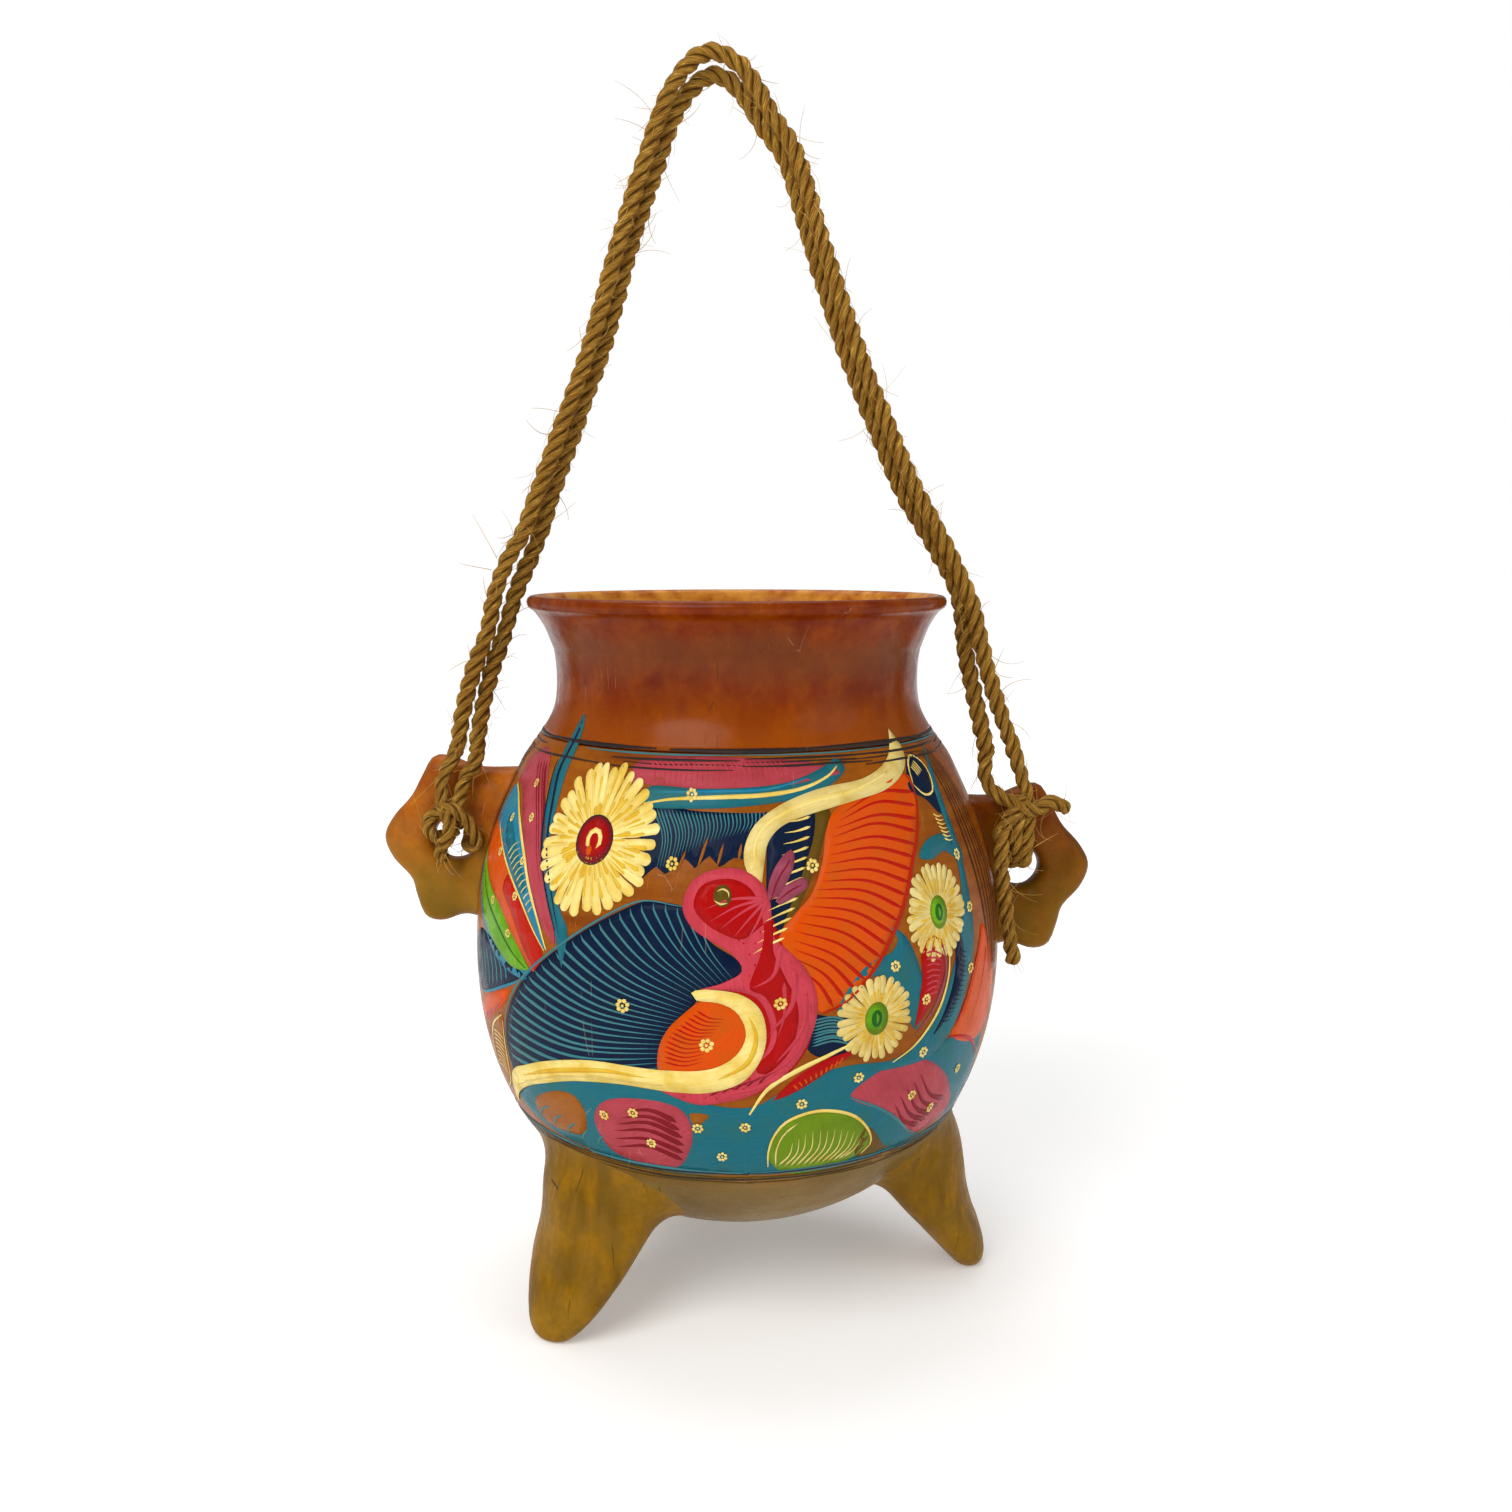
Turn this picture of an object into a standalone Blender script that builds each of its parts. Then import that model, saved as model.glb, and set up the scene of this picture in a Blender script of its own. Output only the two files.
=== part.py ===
# Painted clay tripod pot with two star lugs and a doubled rope handle.
# Metres, +Z up. The pot stands on its three feet at Z = 0, its axis is the Z axis,
# and the lugs point along -X and +X.
import math

import bmesh
import bpy
from mathutils import Matrix, Vector

# Driving dimensions
BODY_RADIUS = 0.091           # widest, at BELLY_HEIGHT
BELLY_HEIGHT = 0.119
BELLY_TO_BOTTOM = 0.0955
BELLY_TO_SHOULDER = 0.1035
LOWER_FULLNESS = 2.2          # 2 is an ellipse, more is boxier
UPPER_FULLNESS = 2.1
SHOULDER_HEIGHT = 0.167       # the formula ends here and the hand-drawn neck begins
NECK_JOINT_HEIGHT = 0.1935    # where the collar is luted onto the bowl
RIM_HEIGHT = 0.2395
WALL = 0.006
GAP = 0.0003                  # between pieces that touch
BELLY_TURN_STEP = 0.115       # between rows above the belly, 1 being a quarter turn of its curve
NECK_START = 0.004            # height kept between the formula's last row and the neck's first

FEET = {"foot_front_left": -46, "foot_right": 88, "foot_rear": 201}  # degrees from -Y towards +X

LUG_HOLE_OUT = 0.0985         # hole centre from the pot's axis
LUG_HALF_THICKNESS = 0.007
LUG_EDGE_ROUND = 0.0042
LUG_DRILL_LENGTH = 0.05
LEFT_LUG = dict(side=-1, height=0.155, hole_radius=0.0074)
RIGHT_LUG = dict(side=1, height=0.145, hole_radius=0.0070)

ROPE_RADIUS = 0.003
ROPE_STEP = 0.0125            # between the points of a rope's tube
KNOT_STEP = 0.006             # between the points of a strand in a knot
HINGE_Y = -0.011              # the handle swings about this line along X
HINGE_Z = 0.187
KNOT_TOP = HINGE_Z - ROPE_RADIUS - GAP   # the handle's rope ends turn just above this

# Neck from the shoulder up to the lip, as (radius, height)
NECK_LINE = [
    (0.0792, 0.1730),
    (0.0757, 0.1806),
    (0.0729, 0.1860),
    (0.0674, 0.1935),
    (0.0632, 0.2015),
    (0.0621, 0.2110),
    (0.0630, 0.2215),
    (0.0662, 0.2290),
    (0.0708, 0.2352),
]
LIP_ARC = [(0.0716, 0.2370), (0.0708, 0.2388), (0.0688, RIM_HEIGHT), (0.0668, 0.2384)]
LIP_INSIDE = [(0.0650, 0.2345), (0.0602, 0.2270)]
THROAT_HEIGHT = 0.2200        # below it the inside is WALL inside the outside

# A foot as (height, distance of its middle from the axis, half width round, half width out)
FOOT_STATIONS = [
    (0.0000, 0.0830, 0.0050, 0.0036),
    (0.0012, 0.0829, 0.0078, 0.0053),
    (0.0045, 0.0818, 0.0112, 0.0071),
    (0.0100, 0.0790, 0.0148, 0.0092),
    (0.0160, 0.0753, 0.0176, 0.0112),
    (0.0220, 0.0712, 0.0198, 0.0130),
    (0.0310, 0.0662, 0.0214, 0.0158),
    (0.0400, 0.0618, 0.0228, 0.0190),
    (0.0500, 0.0572, 0.0246, 0.0218),
    (0.0600, 0.0500, 0.0280, 0.0262),
]

# Half outline of a lug seen from the front, from its hole centre: (outwards, upwards)
LUG_OUTLINE = [
    (-0.0340, 0.0250),
    (-0.0200, 0.0246),
    (-0.0080, 0.0250),
    (0.0010, 0.0283),
    (0.0070, 0.0285),
    (0.0108, 0.0225),
    (0.0150, 0.0148),
    (0.0212, 0.0078),
    (0.0245, 0.0008),
    (0.0218, -0.0070),
    (0.0156, -0.0142),
    (0.0138, -0.0205),
    (0.0110, -0.0278),
    (0.0050, -0.0296),
    (-0.0030, -0.0272),
    (-0.0120, -0.0280),
    (-0.0340, -0.0280),
]

# Routes of the two handle ropes, from the left lug over the top to the right lug
OUTER_ROUTE = [
    (-0.0953, -0.0110, 0.1870),
    (-0.0930, -0.0118, 0.2000),
    (-0.0890, -0.0122, 0.2140),
    (-0.0838, -0.0118, 0.2280),
    (-0.0812, -0.0110, 0.2400),
    (-0.0770, -0.0106, 0.2510),
    (-0.0712, -0.0106, 0.2610),
    (-0.0672, -0.0098, 0.2720),
    (-0.0572, -0.0084, 0.2980),
    (-0.0472, -0.0070, 0.3260),
    (-0.0394, -0.0056, 0.3530),
    (-0.0302, -0.0042, 0.3810),
    (-0.0214, -0.0034, 0.4040),
    (-0.0100, -0.0030, 0.4155),
    (0.0020, -0.0032, 0.4110),
    (0.0118, -0.0038, 0.3960),
    (0.0202, -0.0044, 0.3820),
    (0.0294, -0.0056, 0.3530),
    (0.0402, -0.0070, 0.3210),
    (0.0508, -0.0084, 0.2950),
    (0.0598, -0.0096, 0.2745),
    (0.0710, -0.0106, 0.2540),
    (0.0786, -0.0112, 0.2380),
    (0.0830, -0.0116, 0.2210),
    (0.0880, -0.0114, 0.2040),
    (0.0945, -0.0110, 0.1870),
]
INNER_ROUTE = [
    (-0.0888, -0.0110, 0.1870),
    (-0.0868, -0.0100, 0.2000),
    (-0.0834, -0.0080, 0.2140),
    (-0.0786, -0.0064, 0.2280),
    (-0.0752, -0.0054, 0.2400),
    (-0.0704, -0.0050, 0.2510),
    (-0.0666, -0.0046, 0.2600),
    (-0.0634, -0.0042, 0.2700),
    (-0.0540, -0.0028, 0.2964),
    (-0.0440, -0.0014, 0.3244),
    (-0.0362, 0.0000, 0.3514),
    (-0.0272, 0.0014, 0.3788),
    (-0.0190, 0.0022, 0.3998),
    (-0.0096, 0.0026, 0.4096),
    (-0.0006, 0.0024, 0.4070),
    (0.0088, 0.0018, 0.3938),
    (0.0172, 0.0012, 0.3806),
    (0.0262, 0.0000, 0.3520),
    (0.0370, -0.0014, 0.3196),
    (0.0476, -0.0028, 0.2934),
    (0.0566, -0.0040, 0.2729),
    (0.0688, -0.0046, 0.2530),
    (0.0758, -0.0054, 0.2380),
    (0.0778, -0.0072, 0.2210),
    (0.0812, -0.0096, 0.2040),
    (0.0852, -0.0110, 0.1870),
]
TAIL_ROUTE = [
    (0.0903, -0.0156, 0.1595),
    (0.0900, -0.0172, 0.1500),
    (0.0908, -0.0186, 0.1390),
    (0.0927, -0.0188, 0.1260),
    (0.0948, -0.0172, 0.1150),
]

# A knot as the routes of its strands and its lumps as (centre, radii). The first
# strand goes through the lug's hole.
LEFT_KNOT = dict(
    routes=[
        [
            (-0.0953, -0.0110, KNOT_TOP),
            (-0.0985, -0.0112, 0.1770),
            (-0.1005, -0.0116, 0.1690),
            (-0.1000, -0.0130, 0.1620),
            (-0.0985, -0.0095, 0.1567),
            (-0.0985, 0.0000, 0.1568),
            (-0.0985, 0.0095, 0.1567),
            (-0.0985, 0.0130, 0.1630),
        ],
        [
            (-0.0888, -0.0110, KNOT_TOP),
            (-0.0915, -0.0112, 0.1780),
            (-0.0950, -0.0116, 0.1710),
            (-0.0980, -0.0122, 0.1650),
        ],
        [
            (-0.0985, -0.0130, 0.1600),
            (-0.1010, -0.0138, 0.1550),
            (-0.1032, -0.0136, 0.1500),
        ],
    ],
    lumps=[
        ((-0.1010, -0.0130, 0.1620), (0.0070, 0.0048, 0.0068)),
        ((-0.0985, 0.0135, 0.1680), (0.0075, 0.0058, 0.0068)),
    ],
)
RIGHT_KNOT = dict(
    routes=[
        [
            (0.0945, -0.0110, KNOT_TOP),
            (0.0972, -0.0112, 0.1760),
            (0.0988, -0.0118, 0.1680),
            (0.0985, -0.0132, 0.1540),
            (0.0985, -0.0095, 0.1465),
            (0.0985, 0.0000, 0.1466),
            (0.0985, 0.0095, 0.1465),
            (0.0985, 0.0130, 0.1540),
        ],
        [
            (0.0852, -0.0110, KNOT_TOP),
            (0.0856, -0.0112, 0.1770),
            (0.0892, -0.0116, 0.1710),
            (0.0960, -0.0122, 0.1660),
        ],
        [
            (0.0985, -0.0130, 0.1660),
            (0.1050, -0.0136, 0.1680),
            (0.1125, -0.0130, 0.1665),
        ],
    ],
    lumps=[
        ((0.0975, -0.0132, 0.1650), (0.0070, 0.0050, 0.0062)),
        ((0.0985, 0.0135, 0.1590), (0.0075, 0.0058, 0.0068)),
    ],
)


def clear_scene():
    for obj in list(bpy.data.objects):
        bpy.data.objects.remove(obj, do_unlink=True)


def material(name, colour, roughness):
    made = bpy.data.materials.new(name)
    made.use_nodes = True
    shader = made.node_tree.nodes["Principled BSDF"]
    shader.inputs["Base Color"].default_value = (*colour, 1.0)
    shader.inputs["Roughness"].default_value = roughness
    shader.inputs["Metallic"].default_value = 0.0
    return made


def smooth_line(points, pieces):
    """Points on a Catmull-Rom curve through the given points, ends included."""
    guides = [Vector(p) for p in points]
    guides = [2 * guides[0] - guides[1]] + guides + [2 * guides[-1] - guides[-2]]
    line = []
    for i in range(1, len(guides) - 2):
        before, start, end, after = guides[i - 1:i + 3]
        for k in range(pieces):
            t = k / pieces
            line.append(0.5 * (
                2 * start
                + (end - before) * t
                + (2 * before - 5 * start + 4 * end - after) * t ** 2
                + (3 * start - before - 3 * end + after) * t ** 3
            ))
    line.append(guides[-2].copy())
    return line


def even_points(points, step, pieces=24):
    """The smooth curve through the points, read every step or so."""
    fine = smooth_line(points, pieces)
    reached = [0.0]
    for a, b in zip(fine, fine[1:]):
        reached.append(reached[-1] + (b - a).length)
    count = max(2, round(reached[-1] / step))
    picked = []
    i = 0
    for k in range(count + 1):
        target = reached[-1] * k / count
        while i < len(fine) - 2 and reached[i + 1] < target:
            i += 1
        share = (target - reached[i]) / (reached[i + 1] - reached[i])
        picked.append(fine[i].lerp(fine[i + 1], share))
    return picked


def belly_point(turn, grow=0.0):
    """Radius and height of the bowl's outside, turn from -1 at the bottom to 1 at the top."""
    angle = turn * math.pi / 2
    radius = BODY_RADIUS + grow
    if turn < 0:
        rise, full = BELLY_TO_BOTTOM + grow, LOWER_FULLNESS
    else:
        rise, full = BELLY_TO_SHOULDER + grow, UPPER_FULLNESS
    across = max(math.cos(angle), 0.0) ** (2 / full)
    up = abs(math.sin(angle)) ** (2 / full)
    return radius * across, BELLY_HEIGHT + math.copysign(rise * up, turn)


def belly_line(grow=0.0, rows=11):
    """The bowl's line from its bottom up to the shoulder."""
    line = [belly_point(-1 + k / rows, grow) for k in range(rows)]
    k = 0
    while True:
        point = belly_point(k * BELLY_TURN_STEP, grow)
        if point[1] > SHOULDER_HEIGHT - NECK_START:
            return line
        line.append(point)
        k += 1


def neck_part(line, lowest, highest, grow=0.0):
    """The stretch of a (radius, height) line between two heights, ends included."""
    def radius_at(height):
        for (r0, z0), (r1, z1) in zip(line, line[1:]):
            if z0 <= height <= z1:
                return r0 + (r1 - r0) * (height - z0) / (z1 - z0)
        return line[-1][0]
    inside = [(r + grow, z) for r, z in line if lowest < z < highest]
    return [(radius_at(lowest) + grow, lowest)] + inside + [(radius_at(highest) + grow, highest)]


def outside_line():
    """The pot's whole outside above the belly's formula, smoothed through the neck."""
    radius, height = belly_line()[-1]
    guides = [(radius, 0, height)] + [(r, 0, z) for r, z in NECK_LINE]
    return [(p.x, p.z) for p in smooth_line(guides, 2)]


def mesh_object(name, mesh_maker, finish):
    """A new object whose mesh is filled by mesh_maker, faces pointing out."""
    shape = bmesh.new()
    mesh_maker(shape)
    shape.normal_update()
    bmesh.ops.recalc_face_normals(shape, faces=shape.faces[:])
    mesh = bpy.data.meshes.new(name)
    shape.to_mesh(mesh)
    shape.free()
    mesh.shade_smooth()
    mesh.set_sharp_from_angle(angle=math.radians(40))
    obj = bpy.data.objects.new(name, mesh)
    bpy.context.scene.collection.objects.link(obj)
    if finish:
        mesh.materials.append(finish)
    return obj


def turned(name, outline, finish, steps=40):
    """A closed solid turned round Z from a (radius, height) outline."""
    def fill(shape):
        rings = []
        for radius, height in outline:
            if radius < 1e-6:
                rings.append([shape.verts.new((0, 0, height))])
                continue
            ring = []
            for k in range(steps):
                angle = 2 * math.pi * k / steps
                ring.append(shape.verts.new((radius * math.cos(angle), radius * math.sin(angle), height)))
            rings.append(ring)
        pairs = list(zip(rings, rings[1:]))
        if len(rings[0]) > 1:
            pairs.append((rings[-1], rings[0]))
        for low, high in pairs:
            for k in range(steps):
                corners = [low[k % len(low)], low[(k + 1) % steps % len(low)]]
                corners += [high[(k + 1) % steps % len(high)], high[k % len(high)]]
                shape.faces.new(dict.fromkeys(corners))
    return mesh_object(name, fill, finish)


def tube(name, points, finish, radius=ROPE_RADIUS, sides=2):
    """A round tube with closed ends along the points."""
    curve = bpy.data.curves.new(name, "CURVE")
    curve.dimensions = "3D"
    curve.bevel_depth = radius
    curve.bevel_resolution = sides
    curve.use_fill_caps = True
    spline = curve.splines.new("POLY")
    spline.points.add(len(points) - 1)
    for place, point in zip(spline.points, points):
        place.co = (*point, 1.0)
    obj = bpy.data.objects.new(name, curve)
    bpy.context.scene.collection.objects.link(obj)
    if finish:
        curve.materials.append(finish)
    return obj


def ball(name, centre, radii):
    """A guide: a squashed ball."""
    def fill(shape):
        bmesh.ops.create_uvsphere(shape, u_segments=12, v_segments=8, radius=1.0)
        bmesh.ops.scale(shape, vec=radii, verts=shape.verts)
        bmesh.ops.translate(shape, vec=centre, verts=shape.verts)
    return guide(mesh_object(name, fill, None))


def guide(obj):
    """Keeps a cutter or a guide out of the finished model."""
    obj.hide_render = True
    obj.display_type = "WIRE"
    return obj


def combine(obj, other, how):
    """Adds or cuts away another closed shape."""
    change = obj.modifiers.new(how.lower() + "_" + other.name, "BOOLEAN")
    change.operation = how
    change.object = other
    change.solver = "EXACT"


def make_bowl(clay):
    outside = belly_line()
    upper = neck_part(outside_line(), outside[-1][1], NECK_JOINT_HEIGHT)
    inner_belly = belly_line(-WALL, rows=8)
    inner_neck = neck_part(outside_line(), outside[-1][1] + NECK_START, NECK_JOINT_HEIGHT, -WALL)
    outline = outside + upper[1:] + list(reversed(inner_neck)) + list(reversed(inner_belly))
    return turned("bowl", outline, clay)


def make_neck(clay):
    outside = neck_part(outside_line(), NECK_JOINT_HEIGHT + GAP, NECK_LINE[-1][1])
    inner = [(r - WALL, z) for r, z in reversed(outside) if z < THROAT_HEIGHT]
    return turned("neck", outside + LIP_ARC + LIP_INSIDE + inner, clay)


def make_bowl_cutter():
    """The bowl's outside grown by the gap, closed off level with the joint."""
    outside = belly_line(GAP)
    upper = neck_part(outside_line(), outside[-1][1], NECK_JOINT_HEIGHT, GAP)
    top = [(0.0, NECK_JOINT_HEIGHT)]
    return guide(turned("bowl_cutter", outside + upper[1:] + top, None))


def make_foot(name, bearing, cutter, clay):
    """A tapered foot that leans out, flat where it stands, trimmed to the bowl."""
    steps = 20
    out = Vector((math.sin(math.radians(bearing)), -math.cos(math.radians(bearing)), 0))
    around = Vector((-out.y, out.x, 0))

    def fill(shape):
        rings = []
        for height, middle, half_round, half_out in FOOT_STATIONS:
            ring = []
            for k in range(steps):
                angle = 2 * math.pi * k / steps
                place = out * (middle + half_out * math.cos(angle)) + around * (half_round * math.sin(angle))
                ring.append(shape.verts.new((place.x, place.y, height)))
            rings.append(ring)
        for low, high in zip(rings, rings[1:]):
            for k in range(steps):
                n = (k + 1) % steps
                shape.faces.new([low[k], low[n], high[n], high[k]])
        shape.faces.new(rings[0])
        shape.faces.new(rings[-1])

    foot = mesh_object(name, fill, clay)
    combine(foot, cutter, "DIFFERENCE")
    return foot


def make_lug(name, lug, cutter, clay):
    """A thick five-pointed plate with a round hole, trimmed to the bowl."""
    side = lug["side"]
    line = smooth_line([(side * (LUG_HOLE_OUT + out), 0, lug["height"] + up) for out, up in LUG_OUTLINE], 2)

    def fill(shape):
        front = [shape.verts.new((p.x, -LUG_HALF_THICKNESS, p.z)) for p in line]
        back = [shape.verts.new((p.x, LUG_HALF_THICKNESS, p.z)) for p in line]
        for k in range(len(line)):
            n = (k + 1) % len(line)
            shape.faces.new([front[k], front[n], back[n], back[k]])
        shape.faces.new(front)
        shape.faces.new(back)

    plate = mesh_object(name, fill, clay)
    edges = plate.modifiers.new("rounded_edges", "BEVEL")
    edges.width = LUG_EDGE_ROUND
    edges.segments = 2
    edges.limit_method = "ANGLE"
    edges.angle_limit = math.radians(60)

    place = Matrix.Translation((side * LUG_HOLE_OUT, 0, lug["height"])) @ Matrix.Rotation(math.pi / 2, 4, "X")

    def hole(shape):
        bmesh.ops.create_cone(
            shape, cap_ends=True, segments=20, depth=LUG_DRILL_LENGTH,
            radius1=lug["hole_radius"], radius2=lug["hole_radius"], matrix=place,
        )

    drill = guide(mesh_object(name + "_drill", hole, None))
    combine(plate, drill, "DIFFERENCE")
    combine(plate, cutter, "DIFFERENCE")
    return plate


def strand(name, route, finish=None):
    """A short tube held as a mesh, so that it can be joined to others."""
    curve = tube(name + "_line", even_points(route, KNOT_STEP), None)
    held = bpy.data.meshes.new_from_object(curve)
    bpy.data.objects.remove(curve, do_unlink=True)

    def fill(shape):
        shape.from_mesh(held)
        bmesh.ops.remove_doubles(shape, verts=shape.verts, dist=1e-7)

    return mesh_object(name, fill, finish)


def make_knot(name, knot, rope):
    """One closed solid from a knot's strands and lumps."""
    first, *others = knot["routes"]
    whole = strand(name, first, rope)
    for k, route in enumerate(others):
        combine(whole, guide(strand(f"{name}_strand_{k}", route)), "UNION")
    for k, (centre, radii) in enumerate(knot["lumps"]):
        combine(whole, ball(f"{name}_lump_{k}", centre, radii), "UNION")


def make_ropes(rope):
    outer = tube("handle_rope_outer", even_points(OUTER_ROUTE, ROPE_STEP), rope)
    inner = tube("handle_rope_inner", even_points(INNER_ROUTE, ROPE_STEP), rope)
    hinge = bpy.data.objects.new("handle_hinge", None)
    hinge.location = (0, HINGE_Y, HINGE_Z)
    bpy.context.scene.collection.objects.link(hinge)
    bpy.context.view_layer.update()
    for cord in (outer, inner):
        cord.parent = hinge
        cord.matrix_parent_inverse = hinge.matrix_world.inverted()
    tube("tail_right", even_points(TAIL_ROUTE, ROPE_STEP / 2), rope)


def main():
    clear_scene()
    clay = material("burnished_clay", (0.42, 0.13, 0.03), 0.32)
    painted = material("painted_clay", (0.36, 0.15, 0.03), 0.32)
    rope = material("agave_rope", (0.42, 0.25, 0.07), 0.85)
    make_bowl(painted)
    make_neck(clay)
    cutter = make_bowl_cutter()
    for name, bearing in FEET.items():
        make_foot(name, bearing, cutter, clay)
    make_lug("lug_left", LEFT_LUG, cutter, clay)
    make_lug("lug_right", RIGHT_LUG, cutter, clay)
    make_ropes(rope)
    make_knot("knot_left", LEFT_KNOT, rope)
    make_knot("knot_right", RIGHT_KNOT, rope)


main()
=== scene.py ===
import math
import random

import bpy
import numpy as np
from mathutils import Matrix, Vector
from mathutils.geometry import delaunay_2d_cdt


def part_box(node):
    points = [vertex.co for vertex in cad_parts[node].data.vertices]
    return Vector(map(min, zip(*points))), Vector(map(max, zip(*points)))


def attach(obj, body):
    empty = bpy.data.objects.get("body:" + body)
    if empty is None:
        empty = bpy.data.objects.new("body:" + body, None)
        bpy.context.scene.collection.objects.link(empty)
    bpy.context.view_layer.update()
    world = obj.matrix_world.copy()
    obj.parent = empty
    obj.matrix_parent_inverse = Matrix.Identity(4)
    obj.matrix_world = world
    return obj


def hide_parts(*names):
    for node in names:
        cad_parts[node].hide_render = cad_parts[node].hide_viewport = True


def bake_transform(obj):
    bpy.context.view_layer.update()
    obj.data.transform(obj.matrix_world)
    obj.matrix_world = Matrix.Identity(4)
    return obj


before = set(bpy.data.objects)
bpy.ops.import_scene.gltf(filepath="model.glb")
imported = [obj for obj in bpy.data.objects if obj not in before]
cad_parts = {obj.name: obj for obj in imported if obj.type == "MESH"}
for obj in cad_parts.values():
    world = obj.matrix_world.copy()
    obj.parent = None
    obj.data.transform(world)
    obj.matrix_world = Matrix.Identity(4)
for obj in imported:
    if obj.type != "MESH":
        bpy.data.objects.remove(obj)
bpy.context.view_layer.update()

# Painted clay tripod pot with star lugs and a doubled rope handle.
# Metres, Z up. Places round the pot are (degrees from -Y towards +X, height).


# small helpers

def bentPlace(before, start, end, after, t):
    # a share t of the way from start to end, on the smooth curve through all four
    bend = 2 * before - 5 * start + 4 * end - after
    twist = 3 * start - before - 3 * end + after
    return 0.5 * (2 * start + (end - before) * t + bend * t ** 2 + twist * t ** 3)


def smoothLine(points, pieces=8):
    guides = [Vector(p) for p in points]
    guides = [2 * guides[0] - guides[1]] + guides + [2 * guides[-1] - guides[-2]]
    line = []
    for i in range(1, len(guides) - 2):
        line += [bentPlace(*guides[i - 1:i + 3], k / pieces) for k in range(pieces)]
    line.append(guides[-2].copy())
    return line


def evenPoints(line, step):
    data = np.array([tuple(p) for p in line])
    reached = np.concatenate([[0], np.cumsum(np.linalg.norm(np.diff(data, axis=0), axis=1))])
    count = max(2, round(reached[-1] / step))
    wanted = np.linspace(0, reached[-1], count + 1)
    return np.stack([np.interp(wanted, reached, data[:, k]) for k in range(data.shape[1])], axis=1)


def lineLength(line):
    data = np.array([tuple(p) for p in line])
    return float(np.linalg.norm(np.diff(data, axis=0), axis=1).sum())


def newPiece(name, points, faces, finish, body, standsFor=(), uv=None, marks=None):
    mesh = bpy.data.meshes.new(name)
    mesh.from_pydata([tuple(map(float, p)) for p in points], [], faces)
    mesh.update()
    mesh.shade_smooth()
    mesh.materials.append(finish)
    if uv is not None:
        layer = mesh.uv_layers.new(name="UVMap")
        layer.data.foreach_set("uv", np.array(uv, np.float32).ravel())
    for label, values in (marks or {}).items():
        mark = mesh.attributes.new(label, "FLOAT", "POINT")
        mark.data.foreach_set("value", np.array(values, np.float32))
    piece = bpy.data.objects.new(name, mesh)
    bpy.context.scene.collection.objects.link(piece)
    if body:
        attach(piece, body)
    if standsFor:
        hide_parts(*standsFor)
    return piece


# camera

print("camera")
cameraLook = dict(place=(0.00656, -0.5314, 0.2549), tiltDown=7.66, lens=36.64, sensor=36)
cameraData = bpy.data.cameras.new("camera")
cameraData.lens = cameraLook["lens"]
cameraData.sensor_width = cameraLook["sensor"]
camera = bpy.data.objects.new("camera", cameraData)
camera.location = cameraLook["place"]
camera.rotation_euler = (math.radians(90 - cameraLook["tiltDown"]), 0, 0)
bpy.context.scene.collection.objects.link(camera)
bpy.context.scene.camera = camera


# node helpers for the finishes

def put(tree, kind, sockets=None, **settings):
    made = tree.nodes.new(kind)
    for key, value in settings.items():
        setattr(made, key, value)
    for socket, value in (sockets or {}).items():
        if isinstance(value, bpy.types.NodeSocket):
            tree.links.new(value, made.inputs[socket])
        else:
            made.inputs[socket].default_value = value
    return made


def startFinish(name, **shine):
    made = bpy.data.materials.new(name)
    made.use_nodes = True
    shader = made.node_tree.nodes["Principled BSDF"]
    for socket, value in shine.items():
        shader.inputs[socket.replace("_", " ")].default_value = value
    return made, made.node_tree, shader


def colourOf(red, green, blue):
    # screen colour 0-255 to the linear values the shader wants
    out = []
    for value in (red, green, blue):
        share = value / 255
        out.append(share / 12.92 if share < 0.04045 else ((share + 0.055) / 1.055) ** 2.4)
    return (*out, 1.0)


def place3d(tree, stretch=(1, 1, 1), source="Object"):
    where = put(tree, "ShaderNodeTexCoord").outputs[source]
    return put(tree, "ShaderNodeMapping", {"Vector": where, "Scale": stretch}).outputs["Vector"]


def patches(tree, where, scale, low, high, detail=4.0, rough=0.55):
    # 0 to 1, soft patches where the noise goes from low to high
    noise = put(tree, "ShaderNodeTexNoise", {
        "Vector": where, "Scale": scale, "Detail": detail, "Roughness": rough,
    })
    return put(tree, "ShaderNodeMapRange", {
        "Value": noise.outputs["Fac"], "From Min": low, "From Max": high,
    }).outputs["Result"]


def mixColour(tree, share, first, second):
    return put(tree, "ShaderNodeMix", {0: share, 6: first, 7: second}, data_type="RGBA").outputs[2]


def sums(tree, how, a, b):
    return put(tree, "ShaderNodeMath", {0: a, 1: b}, operation=how, use_clamp=True).outputs[0]


def rangeOf(tree, value, low, high, outLow=0.0, outHigh=1.0):
    return put(tree, "ShaderNodeMapRange", {
        "Value": value, "From Min": low, "From Max": high, "To Min": outLow, "To Max": outHigh,
    }).outputs["Result"]


def relief(tree, shader, height, strength, depth):
    bump = put(tree, "ShaderNodeBump", {"Height": height, "Strength": strength, "Distance": depth})
    tree.links.new(bump.outputs["Normal"], shader.inputs["Normal"])


def hairScratches(tree, where, scale, turn, width=0.02):
    # thin straight marks: the edges of long cells, kept only here and there
    aimed = put(tree, "ShaderNodeMapping", {"Vector": where, "Rotation": turn, "Scale": (1, 1, 0.08)})
    cells = put(tree, "ShaderNodeTexVoronoi", {"Vector": aimed.outputs[0], "Scale": scale},
                feature="DISTANCE_TO_EDGE")
    thin = rangeOf(tree, cells.outputs["Distance"], width, 0.0)
    some = patches(tree, where, scale * 0.9, 0.57, 0.62, detail=3)
    rare = patches(tree, where, scale * 0.3, 0.50, 0.54, detail=1)
    return sums(tree, "MULTIPLY", sums(tree, "MULTIPLY", thin, some), rare)


# ropes of the handle

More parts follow.
